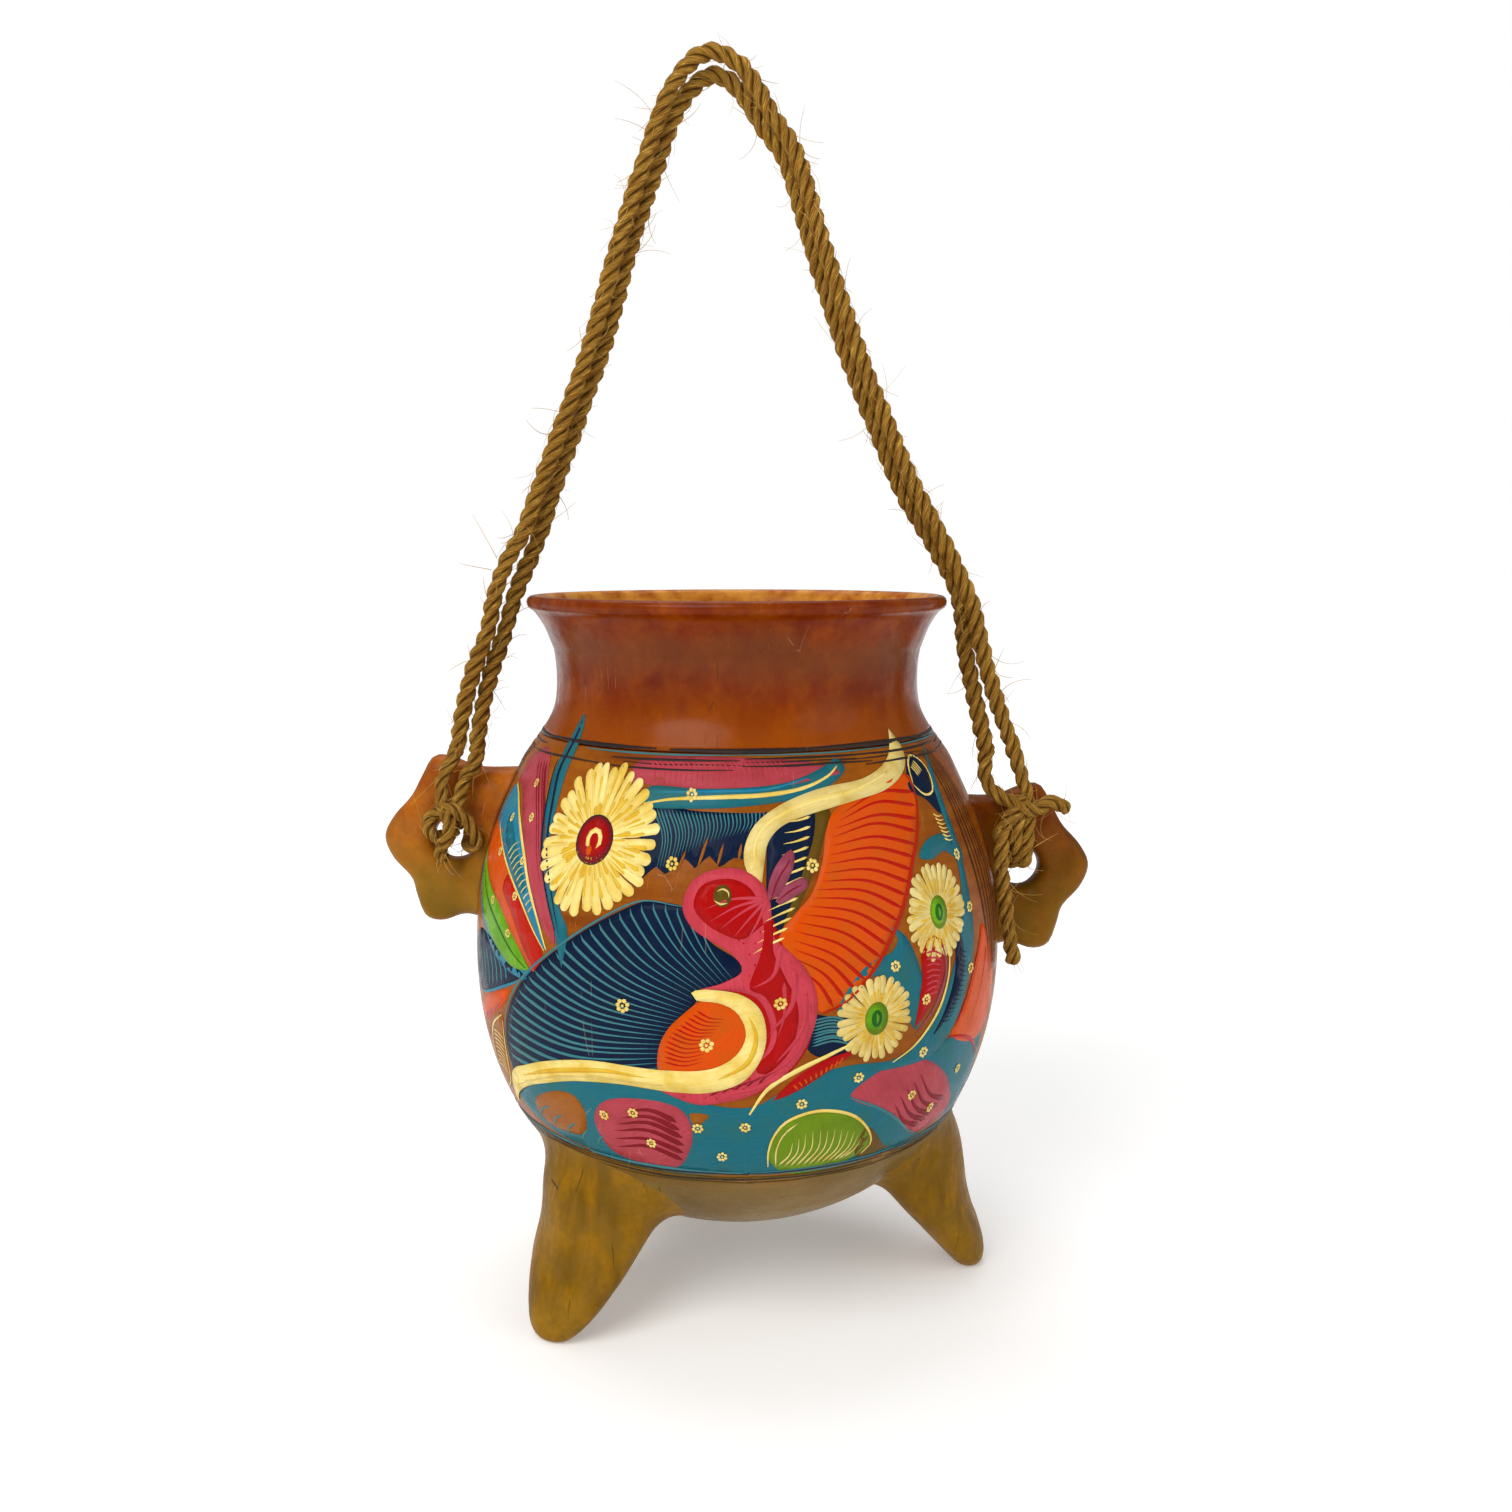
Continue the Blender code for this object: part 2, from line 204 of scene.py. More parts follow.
print("ropes")
ropeLook = dict(
    radius=0.003, strands=3, pitch=0.0165, sides=36, step=0.0009, strandOut=0.50,
    unevenness=0.14, ridges=0.06, fuzz=0.02, overlap=0.0016, dome=0.0022, easing=0.014,
)

outerRoute = [
    (-0.0953, -0.0110, 0.1870), (-0.0930, -0.0118, 0.2000), (-0.0890, -0.0122, 0.2140),
    (-0.0838, -0.0118, 0.2280), (-0.0812, -0.0110, 0.2400), (-0.0770, -0.0106, 0.2510),
    (-0.0712, -0.0106, 0.2610), (-0.0672, -0.0098, 0.2720), (-0.0572, -0.0084, 0.2980),
    (-0.0472, -0.0070, 0.3260), (-0.0394, -0.0056, 0.3530), (-0.0302, -0.0042, 0.3810),
    (-0.0214, -0.0034, 0.4040), (-0.0100, -0.0030, 0.4155), (0.0020, -0.0032, 0.4110),
    (0.0118, -0.0038, 0.3960), (0.0202, -0.0044, 0.3820), (0.0294, -0.0056, 0.3530),
    (0.0402, -0.0070, 0.3210), (0.0508, -0.0084, 0.2950), (0.0598, -0.0096, 0.2745),
    (0.0710, -0.0106, 0.2540), (0.0786, -0.0112, 0.2380), (0.0830, -0.0116, 0.2210),
    (0.0880, -0.0114, 0.2040), (0.0945, -0.0110, 0.1870),
]
innerRoute = [
    (-0.0888, -0.0110, 0.1870), (-0.0868, -0.0100, 0.2000), (-0.0834, -0.0080, 0.2140),
    (-0.0786, -0.0064, 0.2280), (-0.0752, -0.0054, 0.2400), (-0.0704, -0.0050, 0.2510),
    (-0.0666, -0.0046, 0.2600), (-0.0634, -0.0042, 0.2700), (-0.0540, -0.0028, 0.2964),
    (-0.0440, -0.0014, 0.3244), (-0.0362, 0.0000, 0.3514), (-0.0272, 0.0014, 0.3788),
    (-0.0190, 0.0022, 0.3998), (-0.0096, 0.0026, 0.4096), (-0.0006, 0.0024, 0.4070),
    (0.0088, 0.0018, 0.3938), (0.0172, 0.0012, 0.3806), (0.0262, 0.0000, 0.3520),
    (0.0370, -0.0014, 0.3196), (0.0476, -0.0028, 0.2934), (0.0566, -0.0040, 0.2729),
    (0.0688, -0.0046, 0.2530), (0.0758, -0.0054, 0.2380), (0.0778, -0.0072, 0.2210),
    (0.0812, -0.0096, 0.2040), (0.0852, -0.0110, 0.1870),
]
tailRoute = [
    (0.0903, -0.0156, 0.1595), (0.0900, -0.0172, 0.1500), (0.0908, -0.0186, 0.1390),
    (0.0927, -0.0188, 0.1260), (0.0948, -0.0172, 0.1150),
]

# strands that lie over each lug, through its hole and back round
leftKnot = dict(
    routes=[
        [(-0.0953, -0.0110, 0.1868), (-0.0982, -0.0114, 0.1820), (-0.1006, -0.0120, 0.1765),
         (-0.1003, -0.0134, 0.1706), (-0.0986, -0.0158, 0.1652), (-0.0973, -0.0172, 0.1606),
         (-0.0990, -0.0166, 0.1566), (-0.1012, -0.0152, 0.1534), (-0.1004, -0.0144, 0.1500)],
        [(-0.0888, -0.0110, 0.1868), (-0.0893, -0.0112, 0.1824), (-0.0922, -0.0120, 0.1780),
         (-0.0941, -0.0130, 0.1727), (-0.0958, -0.0138, 0.1682), (-0.0998, -0.0140, 0.1668),
         (-0.1040, -0.0138, 0.1650), (-0.1054, -0.0132, 0.1612), (-0.1042, -0.0120, 0.1576),
         (-0.1012, -0.0070, 0.1562), (-0.1002, 0.0000, 0.1562), (-0.0998, 0.0080, 0.1580),
         (-0.0990, 0.0126, 0.1620)],
        [(-0.1004, -0.0152, 0.1676), (-0.0962, -0.0154, 0.1672), (-0.0922, -0.0150, 0.1634),
         (-0.0898, -0.0142, 0.1590), (-0.0892, -0.0124, 0.1550), (-0.0914, -0.0088, 0.1532),
         (-0.0938, -0.0040, 0.1532), (-0.0944, 0.0030, 0.1540), (-0.0956, 0.0100, 0.1570),
         (-0.0985, 0.0138, 0.1622), (-0.0985, 0.0140, 0.1660)],
    ],
    thickness=0.0025,
)
rightKnot = dict(
    routes=[
        [(0.0945, -0.0110, 0.1868), (0.0966, -0.0114, 0.1800), (0.0989, -0.0124, 0.1724),
         (0.1000, -0.0134, 0.1668), (0.0995, -0.0142, 0.1612), (0.0992, -0.0144, 0.1562),
         (0.0986, -0.0132, 0.1522), (0.0990, -0.0094, 0.1488), (0.0992, -0.0040, 0.1474),
         (0.0990, 0.0030, 0.1470), (0.0986, 0.0100, 0.1488), (0.0985, 0.0140, 0.1544),
         (0.0985, 0.0146, 0.1600)],
        [(0.0852, -0.0110, 0.1868), (0.0846, -0.0112, 0.1805), (0.0857, -0.0116, 0.1755),
         (0.0890, -0.0126, 0.1720), (0.0934, -0.0148, 0.1694), (0.0976, -0.0172, 0.1680),
         (0.1016, -0.0164, 0.1670), (0.1058, -0.0142, 0.1692), (0.1096, -0.0130, 0.1688),
         (0.1122, -0.0126, 0.1668)],
        [(0.0968, -0.0150, 0.1676), (0.0956, -0.0158, 0.1640), (0.0950, -0.0158, 0.1598),
         (0.0953, -0.0148, 0.1556), (0.0960, -0.0122, 0.1516), (0.0960, -0.0080, 0.1482),
         (0.0956, -0.0020, 0.1466), (0.0958, 0.0050, 0.1470), (0.0972, 0.0110, 0.1500)],
        [(0.0972, -0.0158, 0.1704), (0.0940, -0.0166, 0.1664), (0.0914, -0.0160, 0.1622),
         (0.0903, -0.0158, 0.1585)],
    ],
    thickness=0.0026,
)


def frames(line):
    # tangents and two turning-free directions across, for each point of a line
    data = np.array([tuple(p) for p in line])
    ahead = np.gradient(data, axis=0)
    ahead /= np.linalg.norm(ahead, axis=1)[:, None]
    side = np.cross(ahead[0], (0.0, 1.0, 0.0))
    if np.linalg.norm(side) < 0.2:
        side = np.cross(ahead[0], (1.0, 0.0, 0.0))
    across = []
    for direction in ahead:
        side = side - direction * np.dot(side, direction)
        side /= np.linalg.norm(side)
        across.append(side.copy())
    across = np.array(across)
    return data, ahead, across, np.cross(ahead, across)


def slowNoise(count, every, rng):
    knots = rng.uniform(-1, 1, max(4, count // every + 3))
    return np.interp(np.linspace(0, len(knots) - 1, count), np.arange(len(knots)), knots)


def laidRope(route, radius, seed, startRadius=None, look=ropeLook):
    # one skin round three twisted strands, with its uv along the strands and both ends rounded off
    rng = np.random.default_rng(seed)
    ends = [Vector(p) for p in route]
    ends[0] += (ends[0] - ends[1]).normalized() * look["overlap"]
    ends[-1] += (ends[-1] - ends[-2]).normalized() * look["overlap"]
    line = evenPoints(smoothLine(ends, 12), look["step"])
    startRadius = startRadius or radius
    data, _, across, upward = frames(line)
    rings, sides, strands = len(data), look["sides"], look["strands"]
    out = look["strandOut"] * radius
    thick = radius - out
    perStrand = 2 * math.pi / strands
    bulge = np.stack([slowNoise(rings, 5, rng) for _ in range(strands)])
    fibres = np.stack([slowNoise(rings, 6, rng) for _ in range(sides)])
    width = 1 + 0.5 * look["unevenness"] * slowNoise(rings, 12, rng)
    points, creaseShade = [], []
    start = rng.uniform(0, math.tau)
    for i in range(rings):
        turn = start + math.tau * i * look["step"] / look["pitch"]
        gone = min(i, rings - 1 - i) * look["step"] / look["dome"]
        shrink = math.sqrt(max(0.06, 1 - max(0.0, 1 - gone) ** 2))
        eased = min(1.0, i * look["step"] / look["easing"])
        shrink *= startRadius / radius * (1 - eased) + eased
        for k in range(sides):
            angle = math.tau * k / sides
            nearest = (angle + perStrand / 2) % perStrand - perStrand / 2
            strand = int((angle + perStrand / 2) // perStrand) % strands
            grow = 1 + look["unevenness"] * bulge[strand][i]
            reach = out * math.cos(nearest)
            reach += math.sqrt(max(thick ** 2 * grow - (out * math.sin(nearest)) ** 2, 1e-8))
            fuzz = look["fuzz"] * rng.uniform(-1, 1)
            reach *= width[i] * shrink * (1 + look["ridges"] * fibres[k][i] + fuzz)
            way = across[i] * math.cos(angle + turn) + upward[i] * math.sin(angle + turn)
            points.append(data[i] + way * reach)
            # painted shade: this mask is 1 in the crevices between strands, where the rope finish darkens
            # the straw
            creaseShade.append(abs(nearest) / (perStrand / 2))
    faces, uv = [], []
    for i in range(rings - 1):
        for k in range(sides):
            n = (k + 1) % sides
            faces.append((i * sides + k, i * sides + n, (i + 1) * sides + n, (i + 1) * sides + k))
            low, high = i * look["step"] * 100, (i + 1) * look["step"] * 100
            uv += [(k / sides, low), ((k + 1) / sides, low), ((k + 1) / sides, high), (k / sides, high)]
    for ring in (0, rings - 1):
        centre = len(points)
        points.append(data[ring])
        creaseShade.append(0.6)
        for k in range(sides):
            n = (k + 1) % sides
            corners = (ring * sides + n, ring * sides + k, centre)
            faces.append(corners if ring == 0 else corners[::-1])
            uv += [(0, 0), (0.1, 0), (0.05, 0.1)]
    return points, faces, uv, creaseShade, [tuple(p) for p in data]


def joinShapes(shapes):
    points, faces, uv, creaseShade = [], [], [], []
    for made in shapes:
        first = len(points)
        points += list(made[0])
        faces += [tuple(v + first for v in face) for face in made[1]]
        uv += made[2]
        creaseShade += made[3]
    return points, faces, uv, creaseShade


def makeRopeFinish():
    made, tree, shader = startFinish("agave_rope", Roughness=0.7, Specular_IOR_Level=0.06)
    shader.inputs["Sheen Weight"].default_value = 0.01
    fine = place3d(tree, (21, 1.6, 1), "UV")
    streaks = patches(tree, fine, 1.5, 0.38, 0.62, detail=5, rough=0.7)
    long = patches(tree, place3d(tree), 130, 0.35, 0.65)
    creaseShade = put(tree, "ShaderNodeAttribute", attribute_name="creaseShade").outputs["Fac"]
    straw = mixColour(tree, streaks, colourOf(132, 72, 2), colourOf(252, 202, 98))
    warm = mixColour(tree, long, colourOf(184, 112, 10), colourOf(240, 172, 50))
    body = mixColour(tree, 0.3, straw, warm)
    # painted shade: the crevices between strands are darkened towards deep brown
    dark = mixColour(tree, rangeOf(tree, creaseShade, 0.6, 1.0, 0, 0.85), body, colourOf(82, 46, 4))
    tree.links.new(dark, shader.inputs["Base Color"])
    relief(tree, shader, streaks, 1.0, 0.0011)
    return made


def bendAtKnots(piece):
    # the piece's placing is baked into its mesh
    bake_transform(piece)


ropeFinish = makeRopeFinish()
ropeLines = {}
for seed, (name, route) in enumerate([("handle_rope_outer", outerRoute), ("handle_rope_inner", innerRoute)]):
    points, faces, uv, creaseShade, line = laidRope(route, ropeLook["radius"], 11 + seed)
    rope = newPiece(name + "_laid", points, faces, ropeFinish, None,
                    [name], uv, {"creaseShade": creaseShade})
    bendAtKnots(rope)
    ropeLines[name] = line

points, faces, uv, creaseShade, line = laidRope(tailRoute, ropeLook["radius"] * 0.93, 17)
tail = newPiece("tail_right_laid", points, faces, ropeFinish, "pot",
                ["tail_right"], uv, {"creaseShade": creaseShade})
ropeLines["tail_right"] = line

for name, knot in (("knot_left", leftKnot), ("knot_right", rightKnot)):
    shapes = [laidRope(route, knot["thickness"], 31 + k, ropeLook["radius"] if k < 2 else None)
              for k, route in enumerate(knot["routes"])]
    points, faces, uv, creaseShade = joinShapes(shapes)
    newPiece(name + "_tied", points, faces, ropeFinish, "pot", [name], uv, {"creaseShade": creaseShade})
    for k, made in enumerate(shapes):
        ropeLines[f"{name}_{k}"] = made[4]


# loose fibres that stand off the rope

fibreLook = dict(
    perMetre=420, length=(0.003, 0.013), thickness=(0.00007, 0.00015), bend=2.2,
    segments=6, sides=3, taper=0.6, root=0.8,
)

# a few long ones: start, way and length
longFibres = [
    ((-0.0270, -0.0060, 0.3950), (-0.6, -0.2, 1.0), 0.017),
    ((-0.0285, -0.0060, 0.3900), (-0.9, -0.3, 0.5), 0.012),
    ((0.0225, -0.0070, 0.3790), (0.9, -0.2, -0.5), 0.013),
    ((0.0190, -0.0060, 0.3720), (-0.3, -0.3, -1.0), 0.016),
    ((0.0480, -0.0090, 0.3060), (0.8, -0.2, 0.7), 0.012),
    ((0.0455, -0.0090, 0.2980), (-0.6, -0.3, -0.9), 0.015),
    ((-0.0800, -0.0130, 0.2520), (-0.5, -0.2, 1.0), 0.016),
    ((-0.0770, -0.0130, 0.2560), (0.9, -0.3, 0.7), 0.013),
    ((-0.0820, -0.0130, 0.2480), (-1.0, -0.3, 0.2), 0.011),
    ((0.0880, -0.0130, 0.2050), (0.6, -0.2, 1.0), 0.014),
    ((-0.0560, -0.0110, 0.2990), (-1.0, -0.2, 0.4), 0.012),
    ((-0.0720, -0.0110, 0.2640), (0.7, -0.4, -0.6), 0.015),
]
knotFibres = [
    ((-0.1004, -0.0160, 0.1500), (-0.2, -0.3, -1.0), 0.008),
    ((-0.1000, -0.0160, 0.1500), (0.3, -0.3, -1.0), 0.007),
    ((-0.1012, -0.0160, 0.1505), (-0.7, -0.3, -0.8), 0.006),
    ((0.1118, -0.0130, 0.1668), (0.8, -0.2, -0.8), 0.007),
    ((0.1120, -0.0130, 0.1676), (1.0, -0.2, 0.2), 0.006),
    ((0.1110, -0.0130, 0.1690), (0.5, -0.2, 0.9), 0.008),
    ((0.0948, -0.0180, 0.1150), (0.1, -0.2, -1.0), 0.007),
    ((0.0955, -0.0180, 0.1150), (0.5, -0.2, -1.0), 0.006),
    ((0.0940, -0.0180, 0.1155), (-0.4, -0.3, -1.0), 0.006),
    ((0.0985, -0.0160, 0.1700), (-0.4, -0.6, 0.6), 0.009),
]


def makeFibres(name, lines, body, seed, extra=()):
    rng = np.random.default_rng(seed)
    points, faces = [], []
    starts = []
    for line in lines:
        data, ahead, across, upward = frames(line)
        count = int(lineLength(line) * fibreLook["perMetre"])
        for i in rng.integers(2, len(data) - 2, count):
            angle = rng.uniform(0, math.tau)
            way = across[i] * math.cos(angle) + upward[i] * math.sin(angle)
            lean = rng.choice((-1, 1)) * ahead[i]
            lean = lean * rng.uniform(0.5, 1.6) + way * rng.uniform(0.2, 1.0)
            place = data[i] + way * ropeLook["radius"] * fibreLook["root"]
            starts.append((place, lean, rng.uniform(*fibreLook["length"])))
    starts += list(extra)
    segments, sides = fibreLook["segments"], fibreLook["sides"]
    for start, way, long in starts:
        way = np.array(way) / np.linalg.norm(way)
        curl = rng.normal(0, 1, 3)
        curl -= way * np.dot(curl, way)
        thick = rng.uniform(*fibreLook["thickness"])
        place = np.array(start, float)
        first = len(points)
        for k in range(segments + 1):
            side = np.cross(way, curl)
            side /= np.linalg.norm(side)
            other = np.cross(way, side)
            size = thick * (1 - fibreLook["taper"] * k / segments)
            for turn in range(sides):
                angle = math.tau * turn / sides
                points.append(place + (side * math.cos(angle) + other * math.sin(angle)) * size)
            place = place + way * long / segments
            way = way + curl * fibreLook["bend"] * rng.uniform(0.3, 1) / segments * 0.6
            way /= np.linalg.norm(way)
        for k in range(segments):
            for turn in range(sides):
                n = (turn + 1) % sides
                low, high = first + sides * k, first + sides * (k + 1)
                faces.append((low + turn, low + n, high + n, high + turn))
        faces.append((first + 2, first + 1, first))
        last = first + sides * segments
        faces.append((last, last + 1, last + 2))
    return newPiece(name, points, faces, fibreFinish, body)


fibreFinish, fibreTree, fibreShader = startFinish("loose_fibres", Roughness=0.6)
fibreShade = patches(fibreTree, place3d(fibreTree), 90, 0.35, 0.65)
fibreTree.links.new(mixColour(fibreTree, fibreShade, colourOf(150, 106, 30), colourOf(214, 172, 88)),
                    fibreShader.inputs["Base Color"])
handleLines = [ropeLines["handle_rope_outer"], ropeLines["handle_rope_inner"]]
knotLines = [line for name, line in ropeLines.items() if "handle" not in name]
bendAtKnots(makeFibres("loose_fibres_handle", handleLines, None, 5, longFibres))
makeFibres("loose_fibres_knots", knotLines, "pot", 6, knotFibres)


# the pot's clay

print("clay")
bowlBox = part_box("bowl")
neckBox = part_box("neck")
clayShape = dict(
    radius=bowlBox[1].x, bellyHeight=0.119, toBottom=0.119 - bowlBox[0].z, toShoulder=0.1035,
    lowerFullness=2.2, upperFullness=2.1, formulaTop=0.163,
    joint=bowlBox[1].z, rim=neckBox[1].z, wall=0.006, columns=192, rowStep=0.0022,
    innerStep=0.004, lipStep=0.0011,
)
neckGuides = [
    (0.0792, 0.1730), (0.0757, 0.1806), (0.0729, 0.1860), (0.0674, 0.1935), (0.0632, 0.2015),
    (0.0621, 0.2110), (0.0630, 0.2215), (0.0660, 0.2290), (0.0692, 0.2340),
]
lipGuides = [(0.0711, 0.2353), (0.0718, 0.2371), (0.0711, 0.2389), (0.0690, 0.2394), (0.0668, 0.2384),
             (0.0645, 0.2345)]
throatGuides = [(0.0602, 0.2270), (0.0569, 0.2200), (0.0561, 0.2110), (0.0572, 0.2015), (0.0614, 0.1935)]


def bellyPoint(turn, grow=0.0):
    angle = turn * math.pi / 2
    if turn < 0:
        rise, full = clayShape["toBottom"] + grow, clayShape["lowerFullness"]
    else:
        rise, full = clayShape["toShoulder"] + grow, clayShape["upperFullness"]
    across = max(math.cos(angle), 0.0) ** (2 / full)
    up = abs(math.sin(angle)) ** (2 / full)
    return (clayShape["radius"] + grow) * across, clayShape["bellyHeight"] + math.copysign(rise * up, turn)


def bellyLine(grow=0.0, rows=90):
    line = [bellyPoint(-1 + k / rows, grow) for k in range(2 * rows)]
    return [p for p in line if p[1] < clayShape["formulaTop"]]


def flat(points):
    return [(p[0], 0.0, p[1]) for p in points]


belly = bellyLine()
neckCurve = [(p.x, p.z) for p in smoothLine(flat([belly[-1]] + neckGuides), 8)]
outsideLine = evenPoints(belly + neckCurve[1:], 0.0008)
lineRadius, lineHeight = outsideLine[:, 0], outsideLine[:, 1]


def radiusAt(height):
    return float(np.interp(height, lineHeight, lineRadius))


def wobble(angle, height):
    # hand-built clay is never quite round
    slow = 0.00024 * math.sin(2 * angle + 1.1 + 18 * height)
    slow += 0.0002 * math.sin(3 * angle + 0.6 - 25 * height)
    return slow - 0.0003 + 0.00012 * math.sin(5 * angle + 55 * height)


def leanAt(height):
    # outward direction of the outside at a height, as (out, up)
    step = 0.0015
    slope = radiusAt(height + step) - radiusAt(height - step)
    size = math.hypot(2 * step, slope)
    return 2 * step / size, -slope / size


def onPot(azimuth, height, lift=0.0):
    # a point on the painted outside, heights in millimetres
    angle = math.radians(azimuth)
    high = height / 1000
    out, up = leanAt(high)
    radius = radiusAt(high) + wobble(angle, high) + lift * out
    return (radius * math.sin(angle), -radius * math.cos(angle), high + lift * up)


def turnedShell(name, loop, finish, standsFor, firstInside):
    # a closed wall turned round Z, its uv in degrees and millimetres along the wall
    columns = clayShape["columns"]
    points, rings, inside = [], [], []
    for row, (radius, height) in enumerate(loop):
        inside += [float(row >= firstInside)] * (1 if radius < 1e-5 else columns)
        if radius < 1e-5:
            rings.append([len(points)])
            points.append((0, 0, height))
            continue
        rings.append(list(range(len(points), len(points) + columns)))
        for k in range(columns):
            angle = math.tau * k / columns
            grown = radius + wobble(angle, height)
            points.append((grown * math.sin(angle), -grown * math.cos(angle), height))
    pairs = list(zip(rings, rings[1:]))
    if len(rings[0]) > 1:
        pairs.append((rings[-1], rings[0]))
    faces, uv = [], []
    for row, (low, high) in enumerate(pairs):
        for k in range(columns):
            n = (k + 1) % columns
            ends = [(low, k, k, 0), (low, n, k + 1, 0), (high, n, k + 1, 1), (high, k, k, 1)]
            face = []
            for ring, index, column, up in ends:
                vertex = ring[index % len(ring)]
                if vertex not in face:
                    face.append(vertex)
                    uv.append((360 * column / columns, 1000 * loop[(row + up) % len(loop)][1]))
            faces.append(tuple(face))
    return newPiece(name, points, faces, finish, "pot", standsFor, uv, {"inside": inside})


def makeClayFinish(name, tint):
    # burnished clay: mottled slip, rubbing streaks, hairline cracks and scratches
    made, tree, shader = startFinish(name, Roughness=0.3, Specular_IOR_Level=tint["shine"])
    shader.inputs["Coat Weight"].default_value = tint["coat"]
    shader.inputs["Coat Roughness"].default_value = 0.16
    where = place3d(tree)
    broad = patches(tree, where, tint["broad"], 0.38, 0.62)
    cloudy = patches(tree, where, 110, 0.42, 0.64, detail=6)
    fine = patches(tree, where, 420, 0.35, 0.7, detail=6)
    rubbed = patches(tree, place3d(tree, tint["rubbing"]), 1.0, 0.38, 0.66, detail=5)
    body = mixColour(tree, broad, tint["deep"], tint["main"])
    body = mixColour(tree, sums(tree, "MULTIPLY", rubbed, 0.6), body, tint["light"])
    body = mixColour(tree, sums(tree, "MULTIPLY", cloudy, tint["mottle"]), body, tint["grey"])
    body = mixColour(tree, sums(tree, "MULTIPLY", fine, 0.4), body, tint["deep"])
    if "low" in tint:
        height = put(tree, "ShaderNodeSeparateXYZ", {0: where}).outputs["Z"]
        waved = put(tree, "ShaderNodeMath", {0: height, 1: rangeOf(tree, broad, 0, 1, -0.004, 0.004)},
                    operation="ADD").outputs[0]
        share = rangeOf(tree, waved, tint["edge"][0], tint["edge"][1])
        lowBody = mixColour(tree, broad, tint["low"], tint["lowLight"])
        lowBody = mixColour(tree, sums(tree, "MULTIPLY", rubbed, 0.45), lowBody, tint["lowWarm"])
        body = mixColour(tree, share, lowBody, body)
    if "band" in tint:
        # a greyish-brown band below the lip, and lighter colour low on the neck
        height = put(tree, "ShaderNodeSeparateXYZ", {0: where}).outputs["Z"]
        waved = put(tree, "ShaderNodeMath", {0: height, 1: rangeOf(tree, broad, 0, 1, -0.003, 0.003)},
                    operation="ADD").outputs[0]
        body = mixColour(tree, rangeOf(tree, waved, 0.212, 0.197, 0, 0.6), body, tint["light"])
        above = rangeOf(tree, waved, 0.213, 0.220)
        below = rangeOf(tree, waved, 0.231, 0.226)
        greyBand = sums(tree, "MULTIPLY", above, below)
        body = mixColour(tree, sums(tree, "MULTIPLY", greyBand, 0.55), body, tint["band"])
    if "inner" in tint:
        inside = put(tree, "ShaderNodeAttribute", attribute_name="inside").outputs["Fac"]
        body = mixColour(tree, inside, body, mixColour(tree, cloudy, tint["inner"], tint["light"]))
    cracks = hairScratches(tree, where, 95, (0.7, 0.3, 0.2), 0.012)
    marks = hairScratches(tree, where, 130, (0.2, 1.1, 0.9), 0.007)
    body = mixColour(tree, sums(tree, "MULTIPLY", cracks, tint["cracks"]), body, colourOf(52, 34, 16))
    body = mixColour(tree, sums(tree, "MULTIPLY", marks, 0.35), body, colourOf(225, 190, 140))
    tree.links.new(body, shader.inputs["Base Color"])
    rough = sums(tree, "ADD", sums(tree, "MULTIPLY", fine, 0.4), sums(tree, "MULTIPLY", cloudy, 0.6))
    tree.links.new(rangeOf(tree, rough, 0, 1, *tint["gloss"]), shader.inputs["Roughness"])
    bumps = sums(tree, "ADD", sums(tree, "MULTIPLY", cloudy, 0.5), sums(tree, "MULTIPLY", rubbed, 0.4))
    bumps = sums(tree, "SUBTRACT", bumps, sums(tree, "MULTIPLY", cracks, 0.5))
    relief(tree, shader, bumps, tint["bump"], 0.0006)
    return made


bowlFinish = makeClayFinish("painted_clay", dict(
    main=colourOf(152, 82, 10), deep=colourOf(120, 56, 5), light=colourOf(168, 98, 18),
    grey=colourOf(122, 70, 26), inner=colourOf(196, 130, 48),
    low=colourOf(100, 76, 30), lowLight=colourOf(128, 104, 56), lowWarm=colourOf(114, 76, 14),
    edge=(0.060, 0.070),
    broad=22, rubbing=(30, 30, 260), coat=0.04, cracks=0.6, gloss=(0.24, 0.46), bump=0.25,
    shine=0.05, mottle=0.35,
))
neckFinish = makeClayFinish("burnished_clay", dict(
    main=colourOf(118, 38, 0), deep=colourOf(90, 24, 0), light=colourOf(152, 72, 2),
    grey=colourOf(104, 40, 3), inner=colourOf(200, 134, 50), band=colourOf(104, 56, 24),
    broad=24, rubbing=(110, 110, 70), coat=0.09, cracks=0.5, gloss=(0.18, 0.42), bump=0.26,
    shine=0.06, mottle=0.4,
))
footFinish = makeClayFinish("olive_clay", dict(
    main=colourOf(146, 106, 14), deep=colourOf(108, 76, 10), light=colourOf(166, 116, 12),
    grey=colourOf(118, 90, 38),
    broad=42, rubbing=(200, 200, 45), coat=0.04, cracks=1.0, gloss=(0.3, 0.54), bump=0.5,
    shine=0.04, mottle=0.5,
))
lugSurface = dict(
    edge=(0.136, 0.166), broad=48, rubbing=(90, 90, 90), coat=0.04, cracks=0.9, gloss=(0.26, 0.5),
    bump=0.6, shine=0.05, mottle=0.65,
)
lugFinish = makeClayFinish("lug_clay", dict(
    lugSurface, main=colourOf(176, 94, 20), deep=colourOf(138, 62, 10), light=colourOf(196, 116, 28),
    grey=colourOf(142, 88, 38), low=colourOf(122, 90, 20), lowLight=colourOf(158, 118, 32),
    lowWarm=colourOf(164, 100, 22),
))
redLugFinish = makeClayFinish("red_lug_clay", dict(
    lugSurface, main=colourOf(128, 58, 4), deep=colourOf(96, 36, 2), light=colourOf(146, 78, 8),
    grey=colourOf(108, 56, 14), low=colourOf(96, 64, 8), lowLight=colourOf(124, 88, 14),
    lowWarm=colourOf(134, 76, 10),
))

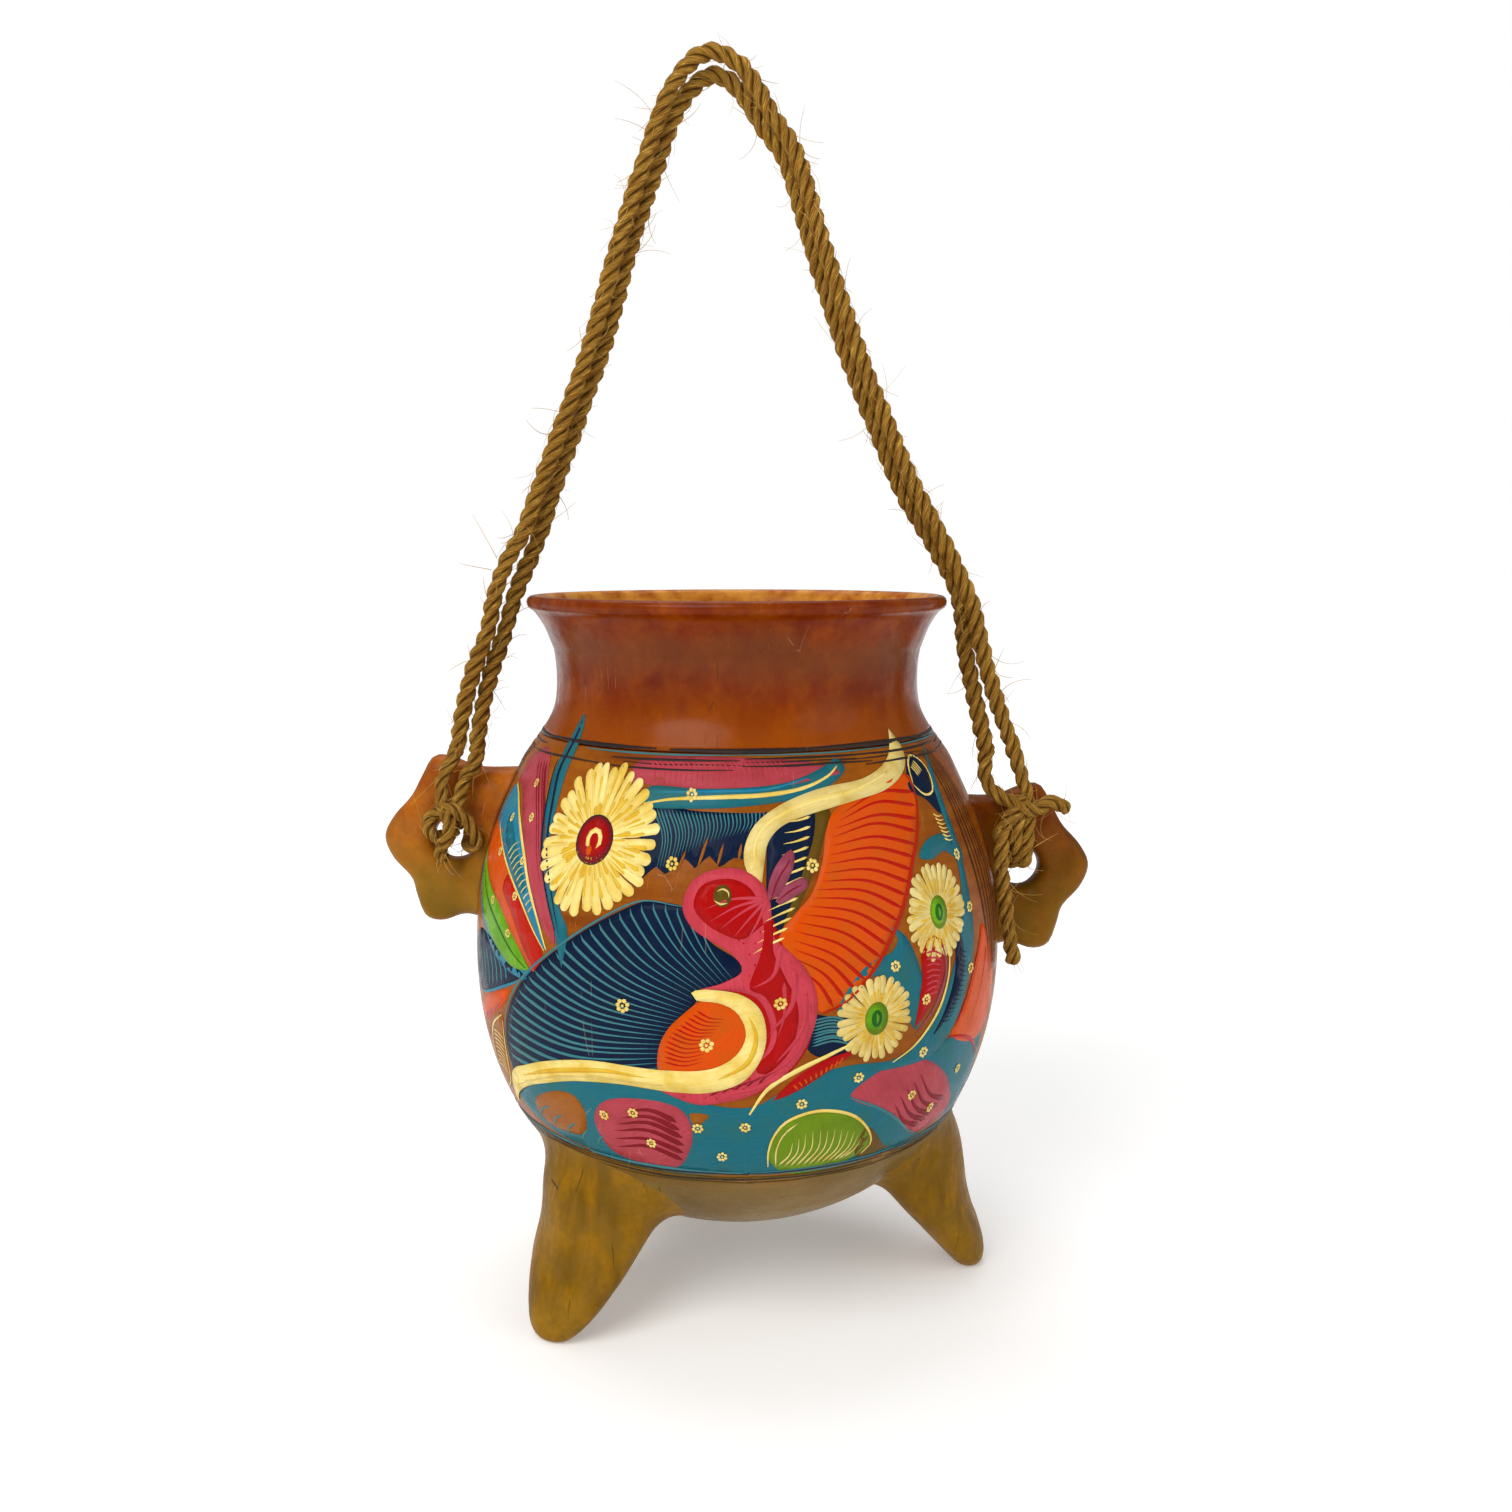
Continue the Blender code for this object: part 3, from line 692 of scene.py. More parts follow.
# the bowl, its outside up to the joint and its inside back down
belowJoint = [p for p in outsideLine if p[1] < clayShape["joint"]]
bowlOut = [tuple(p) for p in evenPoints(belowJoint, clayShape["rowStep"])]
bowlOut[0] = (0.0, bowlOut[0][1])
insideBelly = bellyLine(-clayShape["wall"], 60)
insideNeck = [(r - clayShape["wall"], z) for r, z in outsideLine[::3]
              if clayShape["formulaTop"] + 0.004 < z < clayShape["joint"]]
bowlIn = [tuple(p) for p in evenPoints(insideBelly + insideNeck, clayShape["innerStep"])]
bowlIn[0] = (0.0, bowlIn[0][1])
turnedShell("bowl_clay", bowlOut + bowlIn[::-1], bowlFinish, ["bowl"], len(bowlOut))

# the neck, over the lip and down the throat
overLip = smoothLine(flat(neckGuides[-3:] + lipGuides + throatGuides), 6)
lip = [(p.x, min(p.z, clayShape["rim"])) for p in overLip]
neckOut = [tuple(p) for p in outsideLine if p[1] > neckBox[0].z - 0.00025 and p[1] < neckGuides[-3][1]]
neckLoop = [tuple(p) for p in evenPoints(neckOut, clayShape["rowStep"])]
neckLoop += [tuple(p) for p in evenPoints(lip, clayShape["lipStep"])]
topRow = max(range(len(neckLoop)), key=lambda row: neckLoop[row][1])
turnedShell("neck_clay", neckLoop, neckFinish, ["neck"], topRow + 1)


def ontoPot(point, sink=0.0):
    # the nearest place on the pot's outside, a little under it
    angle = math.atan2(point[0], -point[1])
    radius = math.hypot(point[0], point[1])
    gap = (lineRadius - radius) ** 2 + (lineHeight - point[2]) ** 2
    i = int(np.argmin(gap))
    out, up = leanAt(float(np.clip(lineHeight[i], 0.026, 0.235)))
    if lineHeight[i] < 0.03:
        ahead = outsideLine[min(i + 3, len(outsideLine) - 1)] - outsideLine[max(i - 3, 0)]
        ahead /= np.linalg.norm(ahead)
        out, up = ahead[1], -ahead[0]
    held = lineRadius[i] + wobble(angle, lineHeight[i]) - sink * out
    return np.array((held * math.sin(angle), -held * math.cos(angle), lineHeight[i] - sink * up))


def insidePot(point):
    radius = math.hypot(point[0], point[1])
    high = point[2]
    if high < lineHeight[0]:
        return False
    return radius < radiusAt(high) + wobble(math.atan2(point[0], -point[1]), high)


# feet

print("feet")
footLook = dict(
    columns=56, rows=46, fillet=0.011, filletRows=10,
    spacing=0.0014, lap=0.00025, lapShare=0.9, sunk=0.003,
)
footStations = [
    (0.0000, 0.0830, 0.0050, 0.0036), (0.0012, 0.0829, 0.0078, 0.0053), (0.0045, 0.0818, 0.0112, 0.0071),
    (0.0100, 0.0790, 0.0148, 0.0092), (0.0160, 0.0753, 0.0176, 0.0112), (0.0220, 0.0712, 0.0198, 0.0130),
    (0.0310, 0.0662, 0.0214, 0.0158), (0.0400, 0.0618, 0.0228, 0.0190), (0.0500, 0.0572, 0.0246, 0.0218),
    (0.0600, 0.0500, 0.0280, 0.0262),
]


def makeFoot(name, bearing, seed):
    # leans out and tapers, and its clay is drawn up over the bowl in a soft fillet
    rng = random.Random(seed)
    out = np.array((math.sin(math.radians(bearing)), -math.cos(math.radians(bearing)), 0.0))
    around = np.array((-out[1], out[0], 0.0))
    stations = evenPoints([Vector(s) for s in smoothLine4(footStations)], footLook["spacing"])
    lumps = [(rng.uniform(0, math.tau), rng.uniform(120, 260), rng.uniform(1, 3)) for _ in range(4)]
    columns = footLook["columns"]
    strips = []
    for k in range(columns):
        angle = math.tau * k / columns
        edge = []
        for height, middle, halfRound, halfOut in stations:
            bump = sum(math.sin(turn * angle + start + rate * height) for start, rate, turn in lumps)
            swell = 1 + 0.008 * bump * min(1.0, height / 0.006)
            place = out * (middle + halfOut * swell * math.cos(angle))
            place += around * halfRound * swell * math.sin(angle)
            place[2] = height
            edge.append(place)
        last = next((i for i, p in enumerate(edge) if insidePot(p)), len(edge) - 1)
        meet = ontoPot(edge[last])
        lower = max(2, last - int(footLook["fillet"] / footLook["spacing"]))
        start = edge[lower]
        centre = out * np.interp(meet[2], stations[:, 0], stations[:, 1])
        centre[2] = meet[2]
        away = meet - centre
        away /= np.linalg.norm(away)
        end = ontoPot(meet + away * footLook["fillet"], footLook["lap"])
        strip = [np.array(p) for p in evenPoints(edge[:lower + 1],
            lineLength(edge[:lower + 1]) / footLook["rows"])]
        for j in range(1, footLook["filletRows"] + 1):
            t = j / footLook["filletRows"]
            place = start * (1 - t) ** 2 + meet * 2 * t * (1 - t) + end * t ** 2
            if insidePot(place):
                place = ontoPot(place, 0.0 if t < footLook["lapShare"] else footLook["lap"])
            strip.append(place)
        strip.append(ontoPot(end, footLook["sunk"]))
        strips.append(strip)
    rows = min(len(s) for s in strips)
    points = [strips[k][j] for j in range(rows) for k in range(columns)]
    faces = []
    for j in range(rows - 1):
        for k in range(columns):
            n = (k + 1) % columns
            faces.append((j * columns + k, (j * columns + n), (j + 1) * columns + n, (j + 1) * columns + k))
    for ring, flip in ((0, False), (rows - 1, True)):
        centre = len(points)
        middle = np.mean([points[ring * columns + k] for k in range(columns)], axis=0)
        points.append(middle)
        for k in range(columns):
            corners = (ring * columns + (k + 1) % columns, ring * columns + k, centre)
            faces.append(corners[::-1] if flip else corners)
    return newPiece(name + "_clay", points, faces, footFinish, "pot", [name])


def smoothLine4(rows, pieces=6):
    # the same smooth curve for rows of four numbers
    first = smoothLine([(a, b, c) for a, b, c, _ in rows], pieces)
    second = smoothLine([(d, 0, 0) for _, _, _, d in rows], pieces)
    return [(*p, q.x) for p, q in zip(first, second)]


for seed, (name, bearing) in enumerate([("foot_front_left", -46), ("foot_right", 88), ("foot_rear", 201)]):
    makeFoot(name, bearing, 40 + seed)


# lugs

print("lugs")
lugLook = dict(
    holeOut=0.0985, halfThickness=0.007, columns=96, faceRows=22, squareness=2.9, intoWall=0.0032,
    flare=0.0036, flareReach=0.0045,
)
lugOutline = [
    (-0.0340, 0.0250), (-0.0200, 0.0246), (-0.0080, 0.0250), (0.0010, 0.0283), (0.0070, 0.0285),
    (0.0108, 0.0225), (0.0150, 0.0148), (0.0212, 0.0078), (0.0245, 0.0008), (0.0218, -0.0070),
    (0.0156, -0.0142), (0.0138, -0.0205), (0.0110, -0.0278), (0.0050, -0.0296), (-0.0030, -0.0272),
    (-0.0120, -0.0280), (-0.0340, -0.0280),
]


def makeLug(name, side, height, holeRadius, seed):
    # a thick star with a round hole, pulled out of the bowl's wall
    rng = random.Random(seed)
    phase = [rng.uniform(0, math.tau) for _ in range(6)]
    edge = [(p.x, p.z) for p in smoothLine(flat(lugOutline), 8)]
    kept = []
    for out, up in edge:
        inner = radiusAt(height + up) - lugLook["intoWall"] - lugLook["holeOut"]
        kept.append((max(out, inner), up))
    for up in range(-28, 26, 4):
        inner = radiusAt(height + up / 1000) - lugLook["intoWall"] - lugLook["holeOut"]
        kept.append((inner, up / 1000))
    angles = np.array([math.atan2(up, out) for out, up in kept])
    reach = np.array([math.hypot(out, up) for out, up in kept])
    order = np.argsort(angles)
    angles, reach = angles[order], reach[order]
    angles = np.concatenate([angles - math.tau, angles, angles + math.tau])
    reach = np.tile(reach, 3)
    columns, rows = lugLook["columns"], lugLook["faceRows"]
    points = []
    for k in range(columns):
        angle = -math.pi + math.tau * k / columns
        far = float(np.interp(angle, angles, reach))
        for j in range(rows * 2):
            t = math.tau * j / (rows * 2)
            power = 2 / lugLook["squareness"]
            outward = math.copysign(abs(math.cos(t)) ** power, math.cos(t))
            through = math.copysign(abs(math.sin(t)) ** power, math.sin(t))
            span = (far - holeRadius) / 2
            out = holeRadius + span + span * outward
            x, z = out * math.cos(angle), out * math.sin(angle)
            wall = radiusAt(height + z) - lugLook["holeOut"]
            flare = lugLook["flare"] * math.exp(-max(0.0, x - wall) / lugLook["flareReach"])
            half = lugLook["halfThickness"] + flare
            swell = 0.0004 * math.sin(190 * x + phase[0]) * math.sin(170 * z + phase[1])
            if x > wall:
                half += swell + 0.0002 * math.sin(420 * z + phase[2])
            points.append((side * (lugLook["holeOut"] + x), -half * through, height + z))
    faces = []
    ring = rows * 2
    for k in range(columns):
        n = (k + 1) % columns
        for j in range(ring):
            m = (j + 1) % ring
            face = (k * ring + j, n * ring + j, n * ring + m, k * ring + m)
            faces.append(face if side < 0 else face[::-1])
    finish = redLugFinish if "right" in name else lugFinish
    return newPiece(name + "_clay", points, faces, finish, "pot", [name])


makeLug("lug_left", -1, 0.155, 0.0074, 3)
makeLug("lug_right", 1, 0.145, 0.0070, 4)


# painting: thin films of paint laid on the clay

print("painting")
paintLook = dict(
    lift=0.00007, layer=0.000035, film=0.00003, grid=3.2, edgeStep=1.8, strokeStep=2.0, widest=2.4,
    perDegree=1.5, dotSize=0.62, dotRing=1.35,
)
paintPots = {
    # colour, its thin and its thick places, and how much the brush shows
    "navy": (colourOf(5, 22, 54), colourOf(14, 32, 48), colourOf(2, 14, 46), 0.5),
    "teal": (colourOf(20, 104, 120), colourOf(44, 98, 90), colourOf(6, 90, 118), 0.6),
    "slate": (colourOf(58, 122, 130), colourOf(70, 116, 112), colourOf(36, 104, 122), 0.6),
    "sky": (colourOf(22, 122, 156), colourOf(60, 132, 136), colourOf(8, 100, 148), 0.6),
    "cream": (colourOf(236, 210, 112), colourOf(216, 178, 58), colourOf(246, 232, 164), 0.9),
    "straw": (colourOf(222, 198, 116), colourOf(196, 162, 70), colourOf(236, 220, 154), 0.9),
    "yellow": (colourOf(218, 176, 40), colourOf(202, 150, 26), colourOf(230, 196, 74), 0.8),
    "orange": (colourOf(208, 76, 1), colourOf(182, 82, 8), colourOf(218, 62, 0), 0.7),
    "scarlet": (colourOf(178, 16, 4), colourOf(166, 38, 6), colourOf(190, 10, 3), 0.6),
    "crimson": (colourOf(166, 8, 10), colourOf(148, 16, 12), colourOf(180, 5, 8), 0.5),
    "pink": (colourOf(190, 56, 70), colourOf(172, 50, 58), colourOf(204, 74, 90), 0.7),
    "rose": (colourOf(170, 62, 74), colourOf(150, 52, 56), colourOf(184, 76, 88), 0.7),
    "wine": (colourOf(128, 22, 34), colourOf(110, 20, 26), colourOf(140, 28, 44), 0.5),
    "mauve": (colourOf(148, 62, 84), colourOf(126, 48, 62), colourOf(164, 84, 108), 0.7),
    "green": (colourOf(98, 158, 18), colourOf(70, 130, 24), colourOf(126, 178, 30), 0.7),
    "moss": (colourOf(104, 136, 18), colourOf(84, 108, 18), colourOf(120, 150, 26), 0.6),
    "leaf": (colourOf(36, 96, 24), colourOf(30, 80, 30), colourOf(48, 112, 26), 0.5),
    "ochre": (colourOf(152, 88, 20), colourOf(128, 66, 16), colourOf(166, 98, 26), 0.6),
    "olive": (colourOf(92, 72, 14), colourOf(106, 70, 16), colourOf(78, 66, 16), 0.6),
    "charcoal": (colourOf(44, 40, 42), colourOf(64, 44, 30), colourOf(34, 34, 40), 0.6),
}
paintFilms = {name: dict(points=[], faces=[], uv=[], tone=[]) for name in paintPots}
brush = dict(turn=0.0, hand=random.Random(8))


def paperPoint(place):
    # working paper: millimetres round and up
    return (place[0] * paintLook["perDegree"], place[1])


def liftOf(layer):
    return paintLook["lift"] + paintLook["layer"] * layer


def layDown(paint, flatPoints, faces, layer, uv, tone):
    film = paintFilms[paint]
    first = len(film["points"])
    for u, v in flatPoints:
        film["points"].append(onPot(u / paintLook["perDegree"] + brush["turn"], v, liftOf(layer)))
        film["tone"].append(tone)
    for face in faces:
        film["faces"].append(tuple(first + v for v in face))
        film["uv"] += [uv[v] for v in face]


def roundLoop(places, step):
    # a smooth closed outline through the places; a place given twice is a sharp corner
    guides = [Vector((*paperPoint(p), 0)) for p in places]
    count = len(guides)
    line = []
    for i in range(count):
        before, start, end, after = [guides[(i + k) % count] for k in (-1, 0, 1, 2)]
        if (end - start).length < 1e-6:
            continue
        pieces = max(1, round((end - start).length / step))
        line += [bentPlace(before, start, end, after, k / pieces).to_2d() for k in range(pieces)]
    return line


def insideLoop(point, loop):
    inside = False
    for a, b in zip(loop, loop[1:] + loop[:1]):
        if (a[1] > point[1]) != (b[1] > point[1]):
            if point[0] < a[0] + (b[0] - a[0]) * (point[1] - a[1]) / (b[1] - a[1]):
                inside = not inside
    return inside


def area(paint, places, layer=0, grain=0.0):
    # a filled patch of paint, brushed along the grain direction in degrees
    loop = roundLoop(places, paintLook["edgeStep"])
    turn = sum(a[0] * b[1] - b[0] * a[1] for a, b in zip(loop, loop[1:] + loop[:1]))
    if turn < 0:
        loop.reverse()
    grid = paintLook["grid"]
    low = [min(p[k] for p in loop) for k in (0, 1)]
    high = [max(p[k] for p in loop) for k in (0, 1)]
    edge = np.array([tuple(p) for p in loop])
    inner = []
    for row in range(int((high[1] - low[1]) / grid) + 1):
        for column in range(int((high[0] - low[0]) / grid) + 2):
            point = (low[0] + (column + 0.5 * (row % 2)) * grid, low[1] + (row + 0.5) * grid)
            if insideLoop(point, loop) and np.hypot(*(edge - point).T).min() > 0.35 * grid:
                inner.append(point)
    corners = [Vector(p) for p in loop] + [Vector(p) for p in inner]
    count = len(loop)
    rim = [(k, (k + 1) % count) for k in range(count)]
    made = delaunay_2d_cdt(corners, rim, [], 1, 1e-5)
    flatPoints = [tuple(p) for p in made[0]]
    cosine, sine = math.cos(math.radians(grain)), math.sin(math.radians(grain))
    uv = [(u * cosine + v * sine, v * cosine - u * sine) for u, v in flatPoints]
    layDown(paint, flatPoints, made[2], layer, uv, 0.5)


widths = {
    "even": lambda t: max(0.0, 1 - abs(2 * t - 1) ** 9) ** 0.5,
    "comma": lambda t: min(1.0, t / 0.08) ** 0.5 * (1 - t) ** 0.75 + 0.02,
    "leaf": lambda t: math.sin(math.pi * min(max(t, 0.0), 1.0)) ** 0.7,
    "petal": lambda t: min(1.0, 0.5 + 0.7 * t),
    "swell": lambda t: 0.35 + 0.65 * math.sin(math.pi * t),
    "full": lambda t: 1.0,
}


def stroke(paint, places, width, layer=2, shape="even", shake=0.06):
    # one stroke of a round brush along the places, width in millimetres
    line = [Vector((*paperPoint(p), 0)) for p in places]
    line = evenPoints([(p.x, p.y, 0) for p in (smoothLine(line, 6) if len(line) > 2 else line)], 1.0)
    total = lineLength(line)
    line = evenPoints(line, min(paintLook["strokeStep"], max(0.35, total / 8)))[:, :2]
    shares = np.linspace(0, 1, len(line))
    roundEnd = 0.5 * width / total if shape == "petal" else 0.0
    if roundEnd:
        near = [1 - roundEnd * back for back in (1, 0.6, 0.3, 0.12, 0.03, 0)]
        kept = np.array([share for share in shares if share < near[0]] + near)
        line = np.stack([np.interp(kept, shares, line[:, k]) for k in (0, 1)], axis=1)
        shares = kept
    count = len(line)
    ahead = np.gradient(line, axis=0)
    ahead /= np.maximum(np.linalg.norm(ahead, axis=1)[:, None], 1e-9)
    across = max(1, math.ceil(width / paintLook["widest"]))
    hand = brush["hand"]
    tone = hand.random()
    flatPoints, uv = [], []
    for i in range(count):
        t = shares[i]
        half = max(0.03, 0.5 * width * widths[shape](t) * (1 + shake * hand.uniform(-1, 1)))
        if 1 - t < roundEnd:
            half *= math.sqrt(max(0.01, 1 - (1 - (1 - t) / roundEnd) ** 2))
        for k in range(across + 1):
            side = half * (2 * k / across - 1)
            flatPoints.append((line[i][0] - ahead[i][1] * side, line[i][1] + ahead[i][0] * side))
            uv.append((t * total, side + 7 * tone))
    faces = []
    for i in range(count - 1):
        for k in range(across):
            a = i * (across + 1) + k
            b = a + across + 1
            faces.append((a, b, b + 1, a + 1))
    layDown(paint, flatPoints, faces, layer, uv, tone)


def dab(paint, place, size, layer=4, stretch=1.0, sides=9):
    # a round touch of the brush
    u, v = paperPoint(place)
    tone = brush["hand"].random()
    points = [(u, v)]
    for k in range(sides):
        angle = math.tau * k / sides
        points.append((u + size * math.cos(angle), v + size * stretch * math.sin(angle)))
    faces = [(0, 1 + k, 1 + (k + 1) % sides) for k in range(sides)]
    layDown(paint, points, faces, layer, [(p[0], p[1]) for p in points], tone)


def along(places, share):
    # the place at a share of the way along a guide line
    line = np.array([tuple(p)[:2] for p in smoothLine([(*q, 0) for q in places], 8)])
    steps = np.diff(line, axis=0) * (paintLook["perDegree"], 1)
    reached = np.concatenate([[0], np.cumsum(np.hypot(*steps.T))])
    at = share * reached[-1]
    return (float(np.interp(at, reached, line[:, 0])), float(np.interp(at, reached, line[:, 1])))


def ribs(paint, starts, ends, count, width, bow=0.0, layer=2, shape="even", widthEnd=None,
         reach=(0, 1), hook=0.0):
    # a family of strokes from one guide line to another; bow curves each to its left
    degree = paintLook["perDegree"]
    for i in range(count):
        share = (i + 0.5) / count
        a, b = along(starts, share), along(ends, share)
        first = (a[0] + (b[0] - a[0]) * reach[0], a[1] + (b[1] - a[1]) * reach[0])
        last = (a[0] + (b[0] - a[0]) * reach[1], a[1] + (b[1] - a[1]) * reach[1])
        dx, dy = (last[0] - first[0]) * degree, last[1] - first[1]
        jitter = 1 + 0.12 * brush["hand"].uniform(-1, 1)
        middle = ((first[0] + last[0]) / 2 - dy * bow * jitter / degree,
                  (first[1] + last[1]) / 2 + dx * bow * jitter)
        places = [first, middle, last]
        if hook:
            places.insert(1, (first[0] + dx * 0.09 / degree + dy * hook / degree,
                              first[1] + dy * 0.09 - dx * hook * 0.6))
        size = width + ((widthEnd if widthEnd else width) - width) * share
        stroke(paint, places, size, layer, shape)


def dotFlower(azimuth, height, paint="cream", layer=6, size=1.0):
    step = math.tau / 7
    start = brush["hand"].uniform(0, step)
    for k in range(7):
        out = paintLook["dotRing"] * size * brush["hand"].uniform(0.9, 1.1)
        u, v = out * math.cos(start + k * step), out * math.sin(start + k * step)
        place = (azimuth + u / paintLook["perDegree"], height + v)
        dab(paint, place, paintLook["dotSize"] * size, layer, sides=7)
    dab(paint, (azimuth, height), 0.42 * size, layer, sides=6)


def dotFlowers(places, size):
    for azimuth, height in places:
        dotFlower(azimuth, height, size=size)


def daisy(azimuth, height, across, high, petals, paint, centre, layer=3):
    # an oval flower head of many small round-ended petals, drawn outward from its middle
    degree = 1 / paintLook["perDegree"]
    hand = brush["hand"]
    width = 2 * math.pi * 0.86 * (across + high) / 2 / petals
    for k in range(petals):
        angle = math.tau * (k + hand.uniform(-0.15, 0.15)) / petals
        inner, outer = 0.22, hand.uniform(0.93, 1.04)
        swirl = angle + hand.uniform(-0.02, 0.06)
        places = [
            (azimuth + degree * across * inner * math.cos(angle), height + high * inner * math.sin(angle)),
            (azimuth + degree * across * 0.7 * math.cos(angle), height + high * 0.7 * math.sin(angle)),
            (azimuth + degree * across * outer * math.cos(swirl), height + high * outer * math.sin(swirl)),
        ]
        stroke(paint, places, width * hand.uniform(0.84, 1.0), layer + 0.02 * (k % 5), "petal")
    for k in range(2 * petals):
        angle = math.tau * (k / 2 + hand.uniform(0.1, 0.4)) / petals
        far = hand.uniform(0.45, 0.92)
        wide, tall = degree * across * math.cos(angle), high * math.sin(angle)
        places = [(azimuth + wide * share, height + tall * share) for share in (far, far - 0.3)]
        stroke("yellow", places, hand.uniform(0.6, 1.7) * across / 22, layer + 0.9, "comma")
    layer += 1.5
    if centre == "red":
        dab("charcoal", (azimuth, height), 7.2, layer, 1.02, 24)
        dab("wine", (azimuth, height), 6.7, layer + 0.7, 1.02, 24)
        dab("crimson", (azimuth - 0.2, height + 0.4), 5.5, layer + 1.4, 1.0, 22)
        arc = [(azimuth + 1.7 * math.cos(t), height + 2.9 * math.sin(t))
               for t in (-1.0, -0.2, 0.8, 1.6, 2.6, 3.6, 4.4)]
        stroke("cream", arc, 1.5, layer + 2.1, "even")
        dab("orange", (azimuth - 0.7, height - 3.2), 1.1, layer + 2.8, 1.4)
        return
    dab("moss", (azimuth, height), 4.0, layer, 1.3, 20)
    dab("green", (azimuth - 0.2, height + 0.3), 3.1, layer + 0.7, 1.25, 18)
    dab("leaf", (azimuth, height), 1.8, layer + 1.4, 1.5, 16)
    fleck = [(azimuth, height + 1.6), (azimuth + 0.3, height), (azimuth, height - 1.6)]
    stroke("green", fleck, 0.9, layer + 2.1, "leaf")


def paintBands():
    # lines round the neck and round the foot of the painted zone, a little broken by hand
    hand = brush["hand"]

    def ringLine(paint, height, width, parts, skip, wave, layer):
        for k in range(parts):
            if hand.random() < skip:
                continue
            start = -180 + 360 * k / parts + hand.uniform(-3, 3)
            end = start + 360 / parts * hand.uniform(0.96, 1.12)
            lift = hand.uniform(-wave, wave)
            places = [(start + (end - start) * t, height + lift + hand.uniform(-wave, wave) * 0.5)
                      for t in (0, 0.33, 0.66, 1)]
            stroke(paint, places, width * hand.uniform(0.85, 1.15), layer, "swell")

    ringLine("charcoal", 194.0, 1.3, 9, 0.0, 0.25, 3.0)
    ringLine("slate", 192.6, 0.5, 8, 0.45, 0.3, 2.0)
    ringLine("charcoal", 191.3, 0.7, 10, 0.12, 0.4, 3.0)
    ringLine("charcoal", 189.0, 0.6, 10, 0.2, 0.5, 3.0)
    ringLine("charcoal", 190.2, 0.4, 12, 0.35, 0.5, 2.0)


def ringHeight(azimuth):
    # the lower ring rises a little towards the sides
    return 63.6 + 4.2 * (math.sin(math.radians(azimuth - 8)) ** 2)


def paintLowerRing():
    hand = brush["hand"]
    rings = (
        (0, "slate", 1.9, 3.0), (0.3, "charcoal", 0.9, 4.0), (1.9, "olive", 0.7, 3.0),
        (3.0, "charcoal", 0.6, 3.0), (4.3, "olive", 0.5, 3.0),
    )
    parts, reach = 10, 38  # strokes round the pot, and degrees that each one covers
    for drop, paint, width, layer in rings:
        for k in range(parts):
            start = -180 + 360 / parts * k + hand.uniform(-4, 4)
            turns = [start + share * reach for share in (0, 0.25, 0.5, 0.75, 1)]
            places = [(turn, ringHeight(turn) - drop + hand.uniform(-0.3, 0.3)) for turn in turns]
            stroke(paint, places, width * hand.uniform(0.8, 1.2), layer, "swell")


def paintLowerField():
    area("teal", [(-58, 76), (-53, 83), (-45, 90.5), (-35, 96.5), (-25, 99), (-15, 95), (-5, 89.5),
        (3, 88.5), (8, 92), (14, 97.5), (23, 100), (35, 99), (49, 101), (59, 106), (66, 100), (68, 84),
        (66, 70), (56, 69), (40, 65), (28, 63.5), (15, 62.8), (5, 62.8), (-14, 64), (-33, 66), (-48, 69)],
        0, 8)
    area("ochre", [(-49, 80), (-41, 86), (-35, 86.5), (-33, 80), (-36, 72), (-46, 71), (-50, 74)], 1, 20)
    area("olive", [(29.6, 77), (36, 68), (39, 66), (37, 66), (30, 65), (28, 69)], 1, 60)
    area("ochre", [(-9, 86), (-5, 85.5), (-8, 81), (-8, 81)], 1, 60)
    ribs("slate", [(-52, 74), (-40, 70), (-30, 69)], [(-46, 80), (-38, 76), (-28, 73)], 5, 0.7, 0.1, 2)
    area("rose", [(-31, 77), (-29.5, 84), (-25, 88.5), (-17, 89.7), (-11, 87.5), (-8.7, 81), (-9.5, 73),
        (-13, 65.5), (-20, 65), (-28.5, 68)], 1, 30)
    ribs("wine", [(-11, 67), (-10, 75), (-11.5, 84)], [(-28, 69), (-27.5, 77), (-23, 86)], 6, 2.1, -0.14,
        2, "comma", reach=(0.04, 0.92))
    area("rose", [(24, 89), (27, 94), (33, 97.5), (41, 97), (49, 90), (55, 81), (59, 73), (55, 69.5),
        (47, 68), (42, 71), (37, 77), (31, 83)], 1, 120)
    ribs("wine", [(46, 70), (51, 73), (55, 78)], [(33, 84), (35, 90), (40, 95)], 5, 2.1, 0.12, 2, "comma",
        reach=(0.05, 0.85))
    stroke("slate", [(24, 89), (31, 83.5), (37, 77.5), (42, 71.5), (46, 68.5)], 1.1, 3, "swell")
    area("moss", [(7.5, 69), (8, 77), (11, 83), (17, 85.3), (24, 83), (29, 77), (31.5, 70), (27, 65),
        (20, 62.5), (12, 62.8)], 1, 100)
    oval = [(7.5, 66), (7.3, 72), (8.3, 78), (11, 83.2), (17, 85.8), (24, 83.4), (29, 77.5), (31.8, 70.5),
        (30, 66.5)]
    stroke("cream", oval, 1.1, 3, "swell")
    stroke("straw", [(9.3, 66), (9, 72), (10.2, 78), (13, 82)], 0.5, 3, "even")
    ribs("straw", [(9, 66), (12.5, 64.6), (22, 64.6), (26, 66.5)],
        [(12, 75), (17, 80), (26, 78), (29.5, 73)], 12, 0.75, -0.16, 3, "comma", reach=(0.08, 0.92))
    dotFlowers(((-7.5, 81), (2.2, 81.5), (-2.7, 70.5), (13.5, 88.8), (25.2, 95.5),
               (39.9, 84.9), (48.2, 77.1), (-21, 84.5), (-28, 82), (-18, 74), (55.8, 87.7), (-45, 90)), 0.9)


